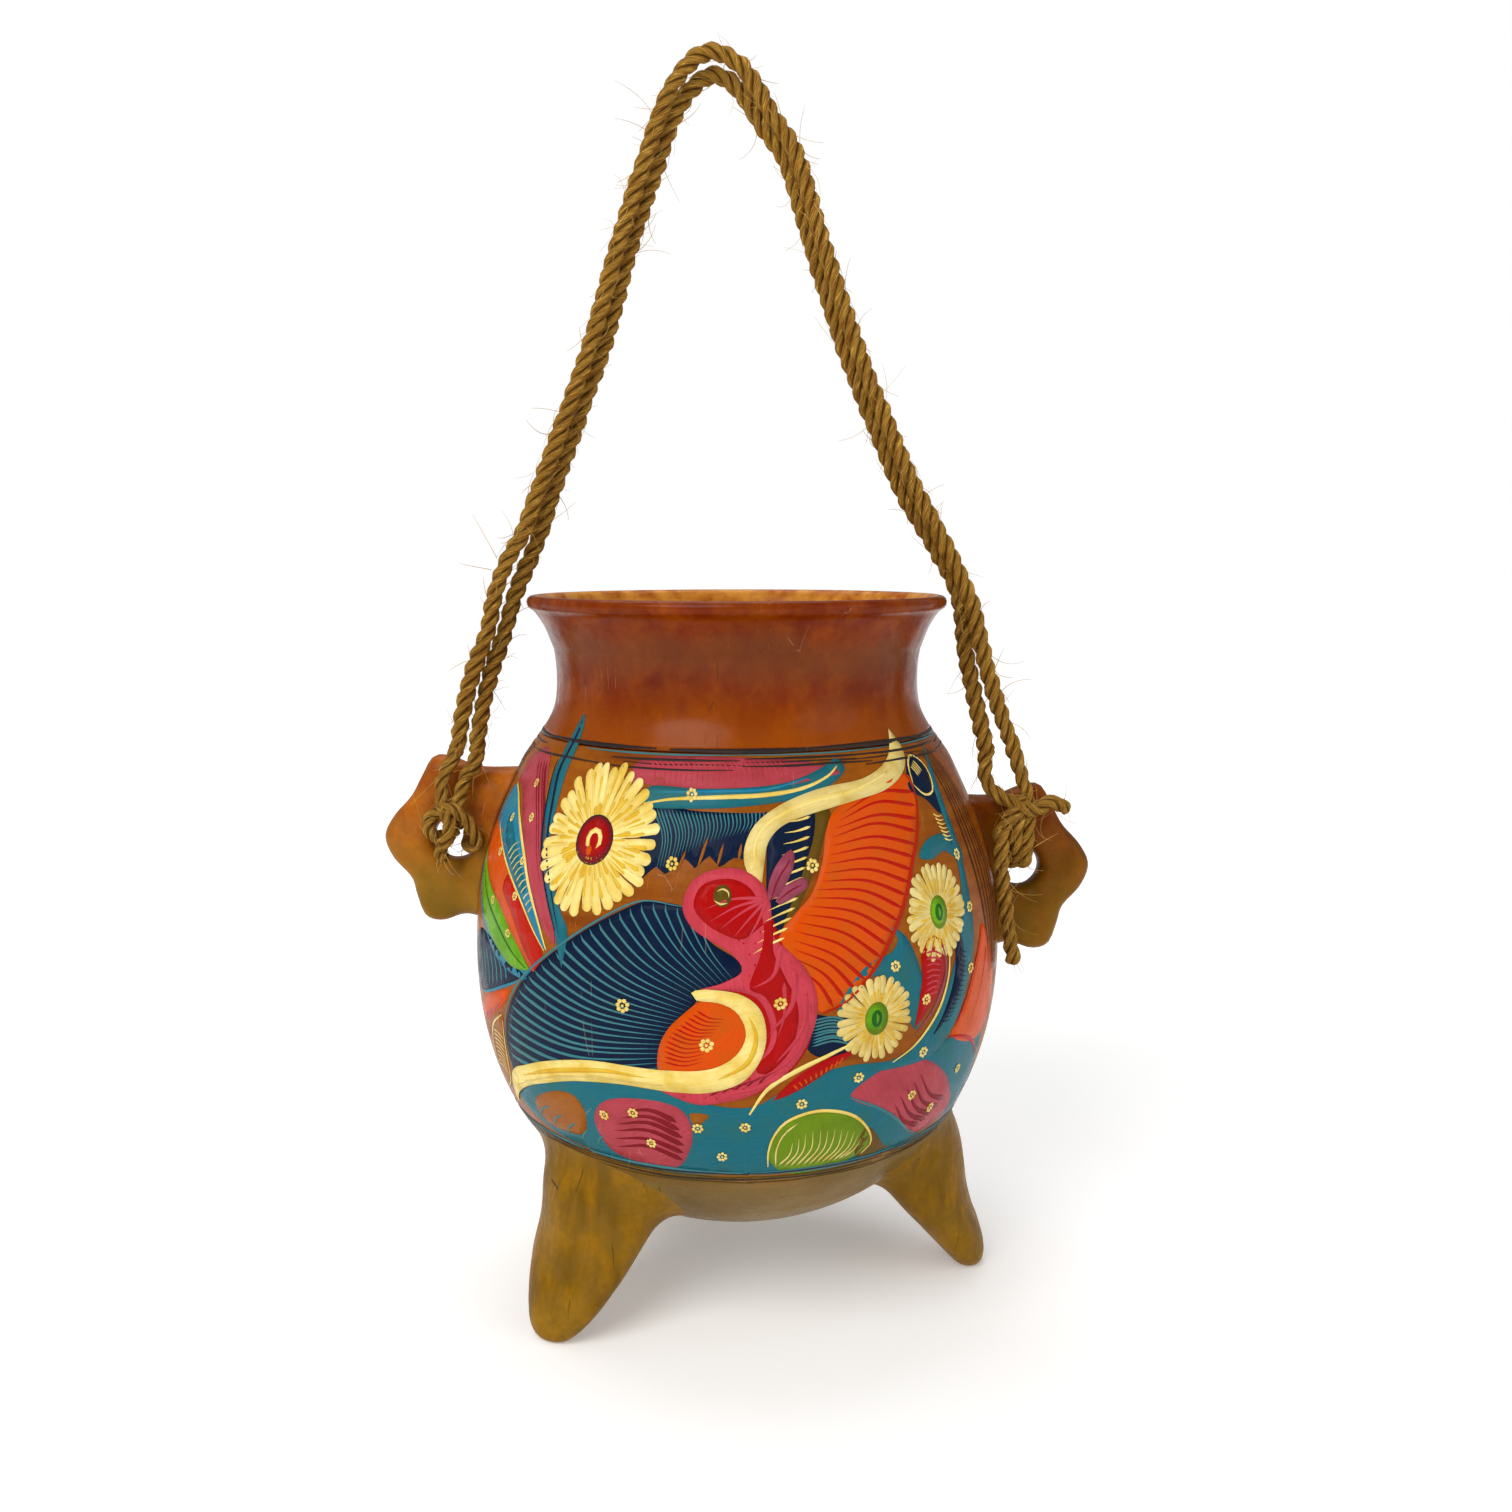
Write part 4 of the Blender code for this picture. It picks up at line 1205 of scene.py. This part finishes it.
def paintLeftLeaves():
    area("navy", [(-76, 122), (-70, 130), (-62, 130), (-54, 127), (-46, 122.5), (-46, 122.5), (-53.5, 117),
                  (-62, 111.5), (-70, 109), (-76, 113)], 0, 150)
    ribs("slate", [(-70, 125), (-62, 126), (-53, 123.5)], [(-68, 113), (-61, 114), (-52, 119.5)], 7, 0.8,
        0.1, 1)
    stroke("sky", [(-72, 108.5), (-64, 110.8), (-54, 116.5), (-45.5, 122)], 1.0, 1, "swell")
    area("orange", [(-74, 100), (-68, 107), (-60, 112.5), (-51.5, 116.5), (-51.5, 116.5), (-54.5, 110.5),
        (-61, 104.5), (-68, 99.5)], 0, 30)
    stroke("rose", [(-73, 97.5), (-67, 101.5), (-60, 106.5), (-54.5, 112.5)], 1.5, 1, "comma")
    area("ochre", [(-67, 88), (-64.5, 98), (-60, 104), (-56, 106), (-57, 94), (-59.5, 82), (-66, 77)], 0, 70)
    stroke("straw", [(-68, 78), (-66.5, 90), (-63, 99.5), (-56.4, 106)], 0.9, 2, "swell")
    stroke("straw", [(-66, 76), (-60, 82), (-57.5, 92), (-56.2, 104)], 0.8, 2, "swell")
    ribs("straw", [(-66.5, 84), (-63, 99)], [(-60, 83), (-57, 98)], 9, 0.5, 0.1, 2)
    area("sky", [(-80, 150), (-72, 138), (-64, 130), (-56, 123.5), (-46, 121), (-43, 123.5), (-43, 123.5),
        (-50, 129), (-58, 136), (-68, 145)], 0, 150)
    area("green", [(-79, 155), (-74, 152), (-65, 145.5), (-57.5, 141), (-50.3, 133), (-44.5, 124.5),
        (-44.5, 124.5), (-51, 124), (-58.5, 128.5), (-67, 135), (-76, 147)], 1, 150)
    stroke("leaf", [(-74, 149), (-66, 141.5), (-58, 135), (-51, 128.5), (-46, 125)], 1.0, 2, "swell")
    area("orange", [(-78, 158), (-76, 165), (-70, 164.5), (-59.5, 157), (-50, 146.5), (-44.4, 138.5),
        (-41, 130.5), (-43.5, 124.5), (-43.5, 124.5), (-50.3, 132.8), (-57.8, 141), (-66, 146.5),
        (-75, 152.5)], 1.4, 140)
    area("scarlet", [(-56, 152), (-50, 146), (-44.2, 138), (-41, 130.5), (-43.2, 125), (-43.2, 125),
        (-47.5, 132), (-52.5, 140.5), (-58, 147)], 2, 130)
    area("sky", [(-77, 166), (-75, 175), (-70.5, 177.5), (-65, 173.8), (-54.2, 161.5), (-48.2, 150.5),
        (-43.8, 141.5), (-40, 132), (-40, 132), (-43.8, 136.5), (-50, 146), (-57.3, 153.5), (-66, 161)],
        1.8, 135)
    area("teal", [(-66, 169), (-60, 164.5), (-53, 156.5), (-48.5, 149), (-51, 148), (-58, 156.5),
        (-65, 163.5)], 2.2, 130)
    stroke("cream", [(-71.5, 178), (-65, 174), (-54, 161.8), (-48, 150.8), (-43.5, 141.5), (-40, 132.5)],
        1.3, 3, "swell")
    stroke("cream", [(-73, 165), (-66, 160.6), (-57.3, 153.2), (-50, 145.7), (-43.6, 136.5),
        (-40.5, 132)], 0.8, 3, "swell")
    ribs("straw", [(-60, 158), (-51, 148.5), (-46, 141.5)], [(-56, 163), (-49, 153), (-44, 144)], 11, 0.6,
        0.12, 3, "comma")
    area("rose", [(-71, 179), (-70, 187), (-64, 190.5), (-58, 188.5), (-53.3, 181.7), (-49.5, 170.1),
        (-45.6, 158.6), (-41.8, 148.8), (-38.2, 138.9), (-37.8, 134), (-37.8, 134), (-41.6, 139),
        (-45.6, 146), (-51, 156), (-56.6, 166.5), (-65, 177)], 1.4, 125)
    ribs("wine", [(-64, 187), (-59, 187.5), (-56, 185)], [(-45, 153), (-43, 152), (-41, 149)], 5, 0.8,
        0.05, 2, "comma")
    area("teal", [(-50.7, 202.5), (-53, 196), (-52.4, 188), (-50, 176), (-46.8, 164.5), (-43.2, 153),
        (-39.2, 143), (-36.8, 133), (-35.6, 128), (-35.6, 128), (-34.6, 139), (-37, 145), (-41, 155),
        (-44.7, 166), (-46.2, 180), (-47.6, 191.6)], 2, 110)
    stroke("navy", [(-50.8, 201), (-50.3, 188), (-47.8, 176), (-44.8, 163), (-40.3, 150), (-36.6, 137)],
        1.7, 3, "comma")
    stroke("navy", [(-53, 188), (-49.8, 174), (-46, 161), (-42, 150), (-38, 139)], 0.8, 3, "swell")
    dotFlowers(((-62, 142), (-53, 134), (-64, 157), (-52, 146), (-58, 180), (-54, 170),
               (-64, 168), (-52, 157)), 0.78)


def paintTop():
    area("rose", [(-26, 185), (-24, 191), (-9, 192.3), (11, 191.5), (22, 189.5), (27, 187), (20, 185.5),
        (8, 183.5), (-8, 183.3), (-20, 184)], 1, 4)
    ribs("pink", [(-23, 191), (-6, 191.8), (12, 191)], [(-20, 184.6), (-4, 184), (14, 184.8)], 26, 0.55,
        0.18, 2, "swell")
    area("navy", [(-19, 178), (-8, 177), (6, 176.5), (11, 177.5), (9, 171), (6, 166.5), (3, 163.5),
        (0, 164), (-3, 161.5), (-5, 164.5), (-8, 161), (-10, 163.5), (-14, 159), (-16, 161), (-20, 156.5),
        (-20.5, 165)], 0, 80)
    for start, end in (((-5.5, 170), (-7.5, 160.5)), ((-2.2, 168), (-3.4, 161.5)),
        ((1.6, 168), (0.9, 163)), ((-10, 166), (-11.6, 159.5))):
        stroke("ochre", [start, end], 0.9, 1.5, "leaf")
    ribs("slate", [(-19, 178), (-6, 177), (8, 177)], [(-16, 158), (-6, 167), (6.5, 172)], 30, 0.6, 0.14,
        1, "comma", reach=(0.02, 0.92))
    area("teal", [(-20.5, 178), (-20, 183.5), (-8, 183.3), (3, 183.7), (13, 185), (22, 188.5), (27, 191),
        (28.5, 188), (24, 184), (15, 180.3), (2, 178.3), (-10, 177.6)], 2, 6)
    stroke("cream", [(-21, 178.5), (-14, 180.2), (-3, 181), (7, 181.5), (16, 183), (23, 186),
        (26.5, 188.8)], 1.3, 3, "swell")
    stroke("sky", [(-18, 182), (-4, 182.7), (8, 183.2), (18, 186)], 0.9, 3, "swell")
    dotFlowers(((-9.7, 181.6), (-12.7, 162)), 1.05)


def paintFan():
    # the raised wing: an orange fan with dark ribs, its plume and the barred crescent
    area("olive", [(16, 176), (22, 176.5), (20, 170), (17.5, 162), (13, 150), (10, 140), (9, 148),
        (11, 156), (14, 163)], 0, 80)
    area("navy", [(8, 175), (13, 177), (18, 177), (17.5, 170), (15.3, 163), (13, 156), (10.5, 148),
        (8.5, 141), (7, 147), (6.5, 158)], 1, 80)
    area("orange", [(47, 184.5), (48, 178), (44.7, 168), (40.4, 158.5), (37.2, 149.5), (33, 139.5),
        (27.8, 129), (22, 121), (17.5, 117.5), (14.5, 121), (12, 128), (8.5, 140), (11.5, 147),
        (15.5, 153), (18.5, 162), (20.5, 171), (24, 177), (34, 181)], 1, 30)
    ribs("scarlet", [(47.5, 181), (45.5, 171), (39, 154), (33, 139.5), (27, 128), (18, 118)],
        [(24, 176), (20.5, 170), (17.5, 160), (13, 150), (10.5, 143), (11, 132)], 19, 1.25, -0.09, 2,
        "comma", reach=(0.0, 0.93))
    stroke("scarlet", [(47, 184.5), (48, 178), (44.9, 168), (40.6, 158.5), (37.4, 149.5), (33.2, 139.5),
        (28, 129), (22, 120.5), (17, 117.5)], 1.3, 3, "swell")
    area("straw", [(5, 155), (2.2, 162), (2.6, 168.6), (5.6, 174.6), (12.2, 179.6), (21.4, 183),
        (33.7, 185), (44.2, 190.4), (49.5, 198), (49.5, 198), (51.4, 192), (47.4, 186), (39.2, 181),
        (28, 178.4), (17.2, 175.6), (10.5, 172.6), (7.2, 168), (6.2, 162)], 2.2, 15)
    stroke("cream", [(4.3, 161), (4.6, 168), (8.4, 174.4), (18, 179.2), (30, 181.6), (41, 185.8)], 1.6,
        2.8, "swell")
    for t in range(13):
        share = t / 12
        height = 175 - 34 * share
        right = 17.2 - 7.5 * share ** 1.3
        stroke("cream", [(right, height), (right - 3.2, height - 1.0 - share),
            (right - 6.0, height - 1.2 - 3.2 * share)], 0.85, 3, "comma")
    dotFlower(16.3, 161.2, size=1.1)


def paintRight():
    area("navy", [(46.5, 180), (49, 187), (54, 190), (57, 186), (56, 179), (58, 172), (55, 171),
        (51.5, 176)], 1, 60)
    stroke("cream", [(48.5, 181), (49.3, 186), (52.5, 189.3), (56, 187.5), (57.2, 182.5), (55.5, 178),
        (51.5, 177.5), (48.5, 181)], 0.7, 3)
    ribs("cream", [(50, 186), (53, 188)], [(51.5, 183), (54.5, 184.5)], 4, 0.6, 0.05, 3)
    ribs("cream", [(52, 172), (53.5, 163)], [(55.5, 171), (57, 162)], 7, 0.7, -0.1, 3, "comma")
    area("teal", [(63.5, 192), (60, 184), (58.8, 174), (58.6, 165), (58.4, 154), (58.4, 143), (58.4, 131),
        (56.2, 120), (52.6, 109), (48.6, 101.5), (42, 96.5), (27, 97), (35.5, 100.5), (41.5, 106.5),
        (46, 114), (50, 124.5), (53, 134), (54.6, 143), (55.8, 152), (56, 162), (56.2, 174), (57.8, 184)],
        1.6, 85)
    area("teal", [(43, 160), (47, 164.5), (54, 165), (59, 160), (58, 155), (52, 160), (47, 158.5)], 1, 20)
    area("teal", [(20, 118), (24, 127.5), (28, 131.8), (32, 133.2), (34, 137), (32.6, 141), (36, 137.5),
        (38.6, 130), (40.4, 121), (40.2, 112), (38.5, 107.5), (36, 112), (32, 124), (28, 127), (24, 122),
        (22, 114)], 1, 100)
    area("crimson", [(40, 131), (43, 136), (46, 133), (47, 126), (45, 118), (41, 112), (38, 108),
        (38, 108), (39, 116), (40, 124)], 3.2, 100)
    ribs("pink", [(41, 132), (41, 116)], [(46, 130), (44.5, 117)], 8, 0.6, 0.1, 4)
    stroke("mauve", [(46, 134), (47.2, 124), (44, 114), (38.5, 106)], 1.0, 4, "swell")
    stroke("cream", [(48.5, 132), (48, 122), (45, 112), (39, 103), (33, 98.5)], 1.0, 4, "swell")
    area("navy", [(50.6, 134), (53.4, 132), (53.8, 122), (51, 113), (46, 106), (43.6, 104), (46.6, 110),
        (49.6, 119), (50.6, 127)], 2.4, 90)
    ribs("navy", [(52.4, 130), (51.4, 117), (46, 107)], [(55.4, 128), (54, 116), (48.6, 107)], 16, 0.6,
        -0.12, 2.5, "comma")
    area("orange", [(63, 134), (60.2, 125), (56.6, 115), (52.4, 106.5), (50, 102.5), (54, 98), (63, 95),
        (69.5, 99), (71.5, 110), (68.5, 124)], 1, 80)
    stroke("scarlet", [(62.6, 133), (59.6, 124), (55.6, 113), (51.4, 104)], 1.3, 2, "swell")
    stroke("scarlet", [(65, 126), (62.5, 114), (58.5, 104)], 0.8, 2, "comma")
    stroke("scarlet", [(49, 101.5), (56, 98.6), (62, 94), (66, 88)], 1.4, 2, "swell")
    area("navy", [(14, 117), (18, 116.5), (23, 114.5), (23.5, 106), (18, 103.5), (14, 107)], 1, 10)
    ribs("slate", [(15, 116), (15, 107)], [(23, 114), (23, 106.5)], 9, 0.6, 0.12, 2)
    stroke("cream", [(24, 107.5), (18, 104), (12, 100), (6.5, 94.5), (3, 86)], 1.5, 4, "swell")
    area("crimson", [(24, 104.5), (19, 99.5), (12, 93), (7.5, 90.5), (7.5, 90.5), (12, 98), (18, 103)], 2,
        30)
    ribs("orange", [(22, 103.5), (11, 95)], [(21, 101.5), (12, 93.5)], 10, 0.6, 0.1, 3)
    dotFlowers(((41.1, 116.5), (56.5, 121.5), (56.5, 158), (41.1, 99.3), (33, 129), (57.5, 141)), 0.95)
    # dark lines that run down beside each lug
    for side, further in ((1, 0), (-1, 17)):
        for k, size in enumerate((1.0, 0.6, 0.9, 0.5, 0.9, 0.6)):
            guides = ((58.5 + 1.1 * k, 190), (62 + 1.6 * k, 177), (62.5 + 1.9 * k, 161), (64 + 2.1 * k, 145),
                      (66 + 1.6 * k, 128), (67 + 1.3 * k, 116))
            stroke("charcoal", [(side * (place + further), height) for place, height in guides], size, 2,
                "swell")


def paintBird():
    # the low wing, navy with fine barbs
    area("navy", [(-8.5, 149), (-13.5, 151), (-19, 150.3), (-29, 142), (-39, 131), (-48, 119), (-54, 105),
        (-55.8, 91), (-55.5, 83), (-46, 88.5), (-38, 93.5), (-25, 97.5), (-13, 97.5), (-13.7, 107),
        (-12, 114), (-8, 120), (-6, 125), (-2.6, 127.5), (2, 130.5), (0.5, 135), (-3.5, 139),
        (-6.4, 143)], 1, 150)
    ribs("slate", [(-5.5, 146), (-12, 150.5), (-19, 150), (-29, 142), (-39, 131), (-48, 119),
        (-53.7, 106), (-55.7, 92)], [(0.5, 129), (-4, 126.5), (-7.5, 124), (-8.5, 120), (-11.5, 115),
        (-13.5, 109), (-13.8, 103), (-13.5, 99)], 28, 0.52, -0.07, 2, "comma", 1.6, reach=(0.01, 1.0),
        hook=0.045)
    stroke("slate", [(-10, 150), (-19, 150.8), (-29, 142.7), (-39, 131.8), (-48.3, 119.8), (-54.5, 105.5),
        (-56, 92), (-54.5, 85)], 0.8, 3, "swell")
    # the orange breast under it
    area("orange", [(-14.3, 98), (-14.6, 106), (-12.7, 113), (-9, 119), (-6, 122.5), (-2, 122.5),
        (3, 119), (4, 112), (2.4, 104), (-3, 99), (-9, 98)], 2, 60)
    ribs("scarlet", [(-13.5, 102), (-12.5, 111), (-6.5, 120)], [(-6, 103), (-5, 109.5), (-1.5, 117.5)],
        13, 0.7, -0.12, 3, "comma")
    # head, neck and body
    area("crimson", [(5.7, 153), (7.7, 146), (9, 140), (11.5, 132), (14, 123.7), (15, 117), (14.5, 109),
        (11.7, 101.5), (6.9, 95), (1.5, 91.6), (-4.7, 90), (-12, 93), (-12, 95.5), (-4, 96), (1, 100),
        (4, 107), (4.6, 114), (2, 121), (-1, 124), (-3, 127), (2, 131.5), (0.5, 136), (2, 146)], 2.6, 100)
    area("pink", [(-4.5, 160.5), (1, 161), (5.5, 157), (7.2, 151), (7.5, 142), (10.5, 137), (14, 131),
        (16, 122), (15, 112), (11, 101), (4, 93), (-3, 90), (-8, 89.5), (-15, 93.5), (-15, 93.5),
        (-8, 95), (0, 100), (5, 104.5), (7, 112), (5.5, 121), (2, 125), (-6.5, 126), (-6.5, 126),
        (-2, 128), (1.5, 131.5), (0, 136), (-4, 140), (-8, 144), (-10, 150), (-8.5, 157)], 3, 100)
    area("crimson", [(-4.5, 157.5), (0, 158), (3.5, 155), (5, 150), (5.8, 143), (5, 136), (3.5, 130),
        (3, 126), (6, 123.5), (8, 116), (7.5, 108), (4, 102), (6, 99.5), (10, 105), (12, 113), (12, 121),
        (9.5, 130), (7.5, 137), (7.2, 146), (2, 141), (-1.5, 142), (-5.5, 145.5), (-7.8, 150), (-7, 155)],
        4, 110)
    start = (6.8, 152.5)
    cheekLines = (((-5.5, 149.5), 1.4), ((-4.5, 146), 1.0), ((-2.6, 143.8), 0.6), ((0, 141.5), 0.2),
                  ((2.3, 140), -0.2))
    for end, bow in cheekLines:
        middle = ((start[0] + end[0]) / 2 - 0.6 * bow, (start[1] + end[1]) / 2 + bow)
        stroke("pink", [start, middle, end], 1.15, 5, "comma")
    bodyLines = (
        ((9, 139), (7.5, 130), (3.6, 126.5), 1.9), ((11.5, 132), (11, 121), (6.5, 112), 2.3),
        ((13.5, 124), (13, 113), (8, 103), 2.4), ((14.3, 116), (11.5, 105), (4, 97), 2.3),
        ((9.5, 128), (9.5, 118), (8.2, 111), 1.3), ((10, 100), (4, 95), (-6, 92), 1.8),
    )
    for start, middle, end, size in bodyLines:
        stroke("pink", [start, middle, end], size, 5, "comma")
    ribs("wine", [(6, 97), (-6, 92)], [(9, 101), (0, 94.5)], 5, 0.6, 0.1, 5.5, "comma")
    dab("olive", (-2.2, 153.3), 2.7, 5.2, 1.2, 16)
    stroke("straw", [(-3.8, 152), (-2.6, 150.9), (-1.2, 151.3)], 0.55, 6, "leaf")
    stroke("straw", [(-3.3, 154.5), (-2.2, 155.3), (-1, 154.3), (-1.0, 152.8)], 0.55, 6, "leaf")
    area("mauve", [(6.8, 152), (7, 157), (9, 162.5), (12, 166), (12.6, 163), (11, 157.5), (8.5, 153)], 5, 70)
    area("mauve", [(8.2, 151.5), (10, 155.5), (14, 158), (15, 155.5), (12, 152.5), (9, 150.5)], 5.3, 40)
    stroke("wine", [(7.3, 152), (8.8, 157.5), (11.6, 163)], 0.6, 6, "swell")
    stroke("wine", [(8.6, 151.6), (11, 154.2), (13.8, 156)], 0.5, 6, "swell")
    dotFlower(8.8, 121.5, size=1.05, layer=7)
    # the cream band that hooks round the breast
    area("cream", [(-61.5, 73), (-57.5, 78), (-51, 83.5), (-44.5, 87.3), (-34.2, 92), (-23, 94),
        (-11.8, 93.2), (-4.7, 93.6), (1.6, 97.2), (5.2, 104.6), (6.1, 113), (4.7, 120.4), (0.8, 124.8),
        (-5.5, 126), (-8, 124.8), (-7, 122.6), (-3, 122), (0.2, 119.6), (2, 115), (2, 110), (-0.4, 104.6),
        (-5.4, 101), (-14, 100.2), (-26.6, 100.6), (-34, 99.2), (-42, 96), (-49, 92), (-54.5, 88.5),
        (-58.5, 83)], 6, 12)
    stroke("yellow", [(-51, 87.5), (-40, 93.5), (-27, 97.6), (-17, 97.2)], 1.7, 7, "leaf")
    stroke("yellow", [(-3, 98), (2.4, 103), (4.2, 111), (2.8, 118)], 1.5, 7, "leaf")
    stroke("straw", [(-57, 81), (-48, 87), (-38, 92.2), (-27, 95.2), (-14, 95)], 0.7, 7.4, "swell")
    dotFlower(-21.6, 119.3, layer=4, size=1.15)
    dotFlower(-5.2, 108.8, layer=4, size=1.15)


def paintDaisies():
    daisy(-31.5, 167, 22.6, 22.3, 33, "cream", "red", 3)
    daisy(46, 142.5, 14.0, 15.0, 30, "straw", "green", 3)
    daisy(28.5, 113.8, 12.8, 13.4, 28, "straw", "green", 3)


def paintBack():
    # the side away from the bird: the same hand, with a large flower among wings and leaves
    brush["turn"] = 180.0
    paintLowerField()
    paintLeftLeaves()
    paintRight()
    paintTop()
    paintFan()
    paintDaisies()
    area("navy", [(-14, 152), (-27, 143), (-39, 130), (-48, 119), (-54, 105), (-55, 92), (-38, 95),
        (-25, 101), (-13, 101), (-9, 112), (-6, 126), (-8, 140)], 1, 150)
    ribs("slate", [(-12, 150), (-27, 142), (-39, 130), (-48, 119), (-54, 104), (-53, 92)],
        [(-8, 143), (-7, 132), (-7, 124), (-9, 115), (-11, 108), (-13, 102)], 24, 0.8, -0.07, 2, "comma",
        1.7, hook=0.04)
    area("cream", [(-58, 84), (-46, 94), (-30, 103), (-14, 104), (-2, 99), (8, 92), (8, 92), (-2, 95),
        (-14, 99), (-30, 98), (-46, 89)], 5, 12)
    daisy(0, 128, 19, 20, 32, "cream", "red", 6)
    dotFlower(-22, 119)
    brush["turn"] = 0.0


def makePaintFinish(name, pot):
    # satin paint: streaks along each stroke, thinner and thicker places, fine dust marks
    colour, thin, thick, streaky = pot
    made, tree, shader = startFinish("paint_" + name, Roughness=0.34, Specular_IOR_Level=0.05)
    shader.inputs["Coat Weight"].default_value = 0.04
    shader.inputs["Coat Roughness"].default_value = 0.15
    brushed = place3d(tree, (0.09, 1.5, 1), "UV")
    streaks = patches(tree, brushed, 1.0, 0.34, 0.66, detail=4, rough=0.6)
    where = place3d(tree)
    worn = patches(tree, where, 130, 0.44, 0.72, detail=5)
    tone = put(tree, "ShaderNodeAttribute", attribute_name="tone").outputs["Fac"]
    body = mixColour(tree, sums(tree, "MULTIPLY", streaks, streaky), colour, thick)
    body = mixColour(tree, sums(tree, "MULTIPLY", worn, streaky), body, thin)
    body = mixColour(tree, rangeOf(tree, tone, 0, 1, 0.0, 0.45), body, thin)
    marks = hairScratches(tree, where, 75, (0.4, 0.9, 0.5), 0.01)
    body = mixColour(tree, sums(tree, "MULTIPLY", marks, 0.25), body, colourOf(196, 170, 128))
    tree.links.new(body, shader.inputs["Base Color"])
    tree.links.new(rangeOf(tree, worn, 0, 1, 0.26, 0.46), shader.inputs["Roughness"])
    relief(tree, shader, streaks, 0.35, 0.0002)
    return made


paintBands()
paintLowerRing()
paintLowerField()
paintLeftLeaves()
paintTop()
paintFan()
paintRight()
paintDaisies()
paintBird()
paintBack()
for name, film in paintFilms.items():
    finish = makePaintFinish(name, paintPots[name])
    painted = newPiece("paint_" + name, film["points"], film["faces"], finish, "pot",
                       (), film["uv"], {"tone": film["tone"]})
    thickness = painted.modifiers.new("film", "SOLIDIFY")
    thickness.thickness = paintLook["film"]
    thickness.offset = -1
    print("  paint", name, len(film["faces"]))


# floor and light

print("floor and light")
studio = dict(floorSize=6.0, glowNear=0.22, glowFar=0.66, keyPower=13, fillPower=2.5, topPower=5, air=0.38)


def makeFloor():
    finish, tree, shader = startFinish("pale_floor", Roughness=0.9)
    shade = patches(tree, place3d(tree), 3, 0.3, 0.7)
    pale = mixColour(tree, shade, (0.92, 0.92, 0.92, 1), (0.95, 0.95, 0.95, 1))
    tree.links.new(pale, shader.inputs["Base Color"])
    shader.inputs["Emission Color"].default_value = (1, 1, 1, 1)
    away = put(tree, "ShaderNodeVectorMath", {0: place3d(tree)}, operation="LENGTH").outputs["Value"]
    glow = rangeOf(tree, away, 0.3, 1.3, studio["glowNear"], studio["glowFar"])
    tree.links.new(glow, shader.inputs["Emission Strength"])
    mesh = bpy.data.meshes.new("floor")
    half = studio["floorSize"]
    mesh.from_pydata([(-half, -half, 0), (half, -half, 0), (half, half, 0), (-half, half, 0)], [],
        [(0, 1, 2, 3)])
    mesh.materials.append(finish)
    floor = bpy.data.objects.new("floor", mesh)
    bpy.context.scene.collection.objects.link(floor)


def makeLamp(name, place, aim, size, power, colour=(1, 1, 1)):
    data = bpy.data.lights.new(name, "AREA")
    data.shape = "DISK"
    data.size = size
    data.energy = power
    data.color = colour
    lamp = bpy.data.objects.new(name, data)
    lamp.location = place
    lamp.rotation_euler = (Vector(aim) - Vector(place)).to_track_quat("-Z", "Y").to_euler()
    bpy.context.scene.collection.objects.link(lamp)


def makeAir():
    world = bpy.data.worlds.new("studio")
    bpy.context.scene.world = world
    world.use_nodes = True
    tree = world.node_tree
    back = tree.nodes["Background"]
    seen = put(tree, "ShaderNodeLightPath").outputs["Is Camera Ray"]
    strength = rangeOf(tree, seen, 0, 1, studio["air"], 1.0)
    tree.links.new(strength, back.inputs["Strength"])
    back.inputs["Color"].default_value = (1, 1, 1, 1)


makeFloor()
makeAir()
makeLamp("key", (-0.55, -0.95, 1.05), (0, 0, 0.13), 1.0, studio["keyPower"], (1, 0.98, 0.95))
makeLamp("fill", (1.0, -0.6, 0.55), (0, 0, 0.12), 0.9, studio["fillPower"])
makeLamp("top", (-0.1, 0.35, 1.1), (0, 0, 0.1), 0.9, studio["topPower"])
bpy.context.scene.view_settings.view_transform = "Standard"
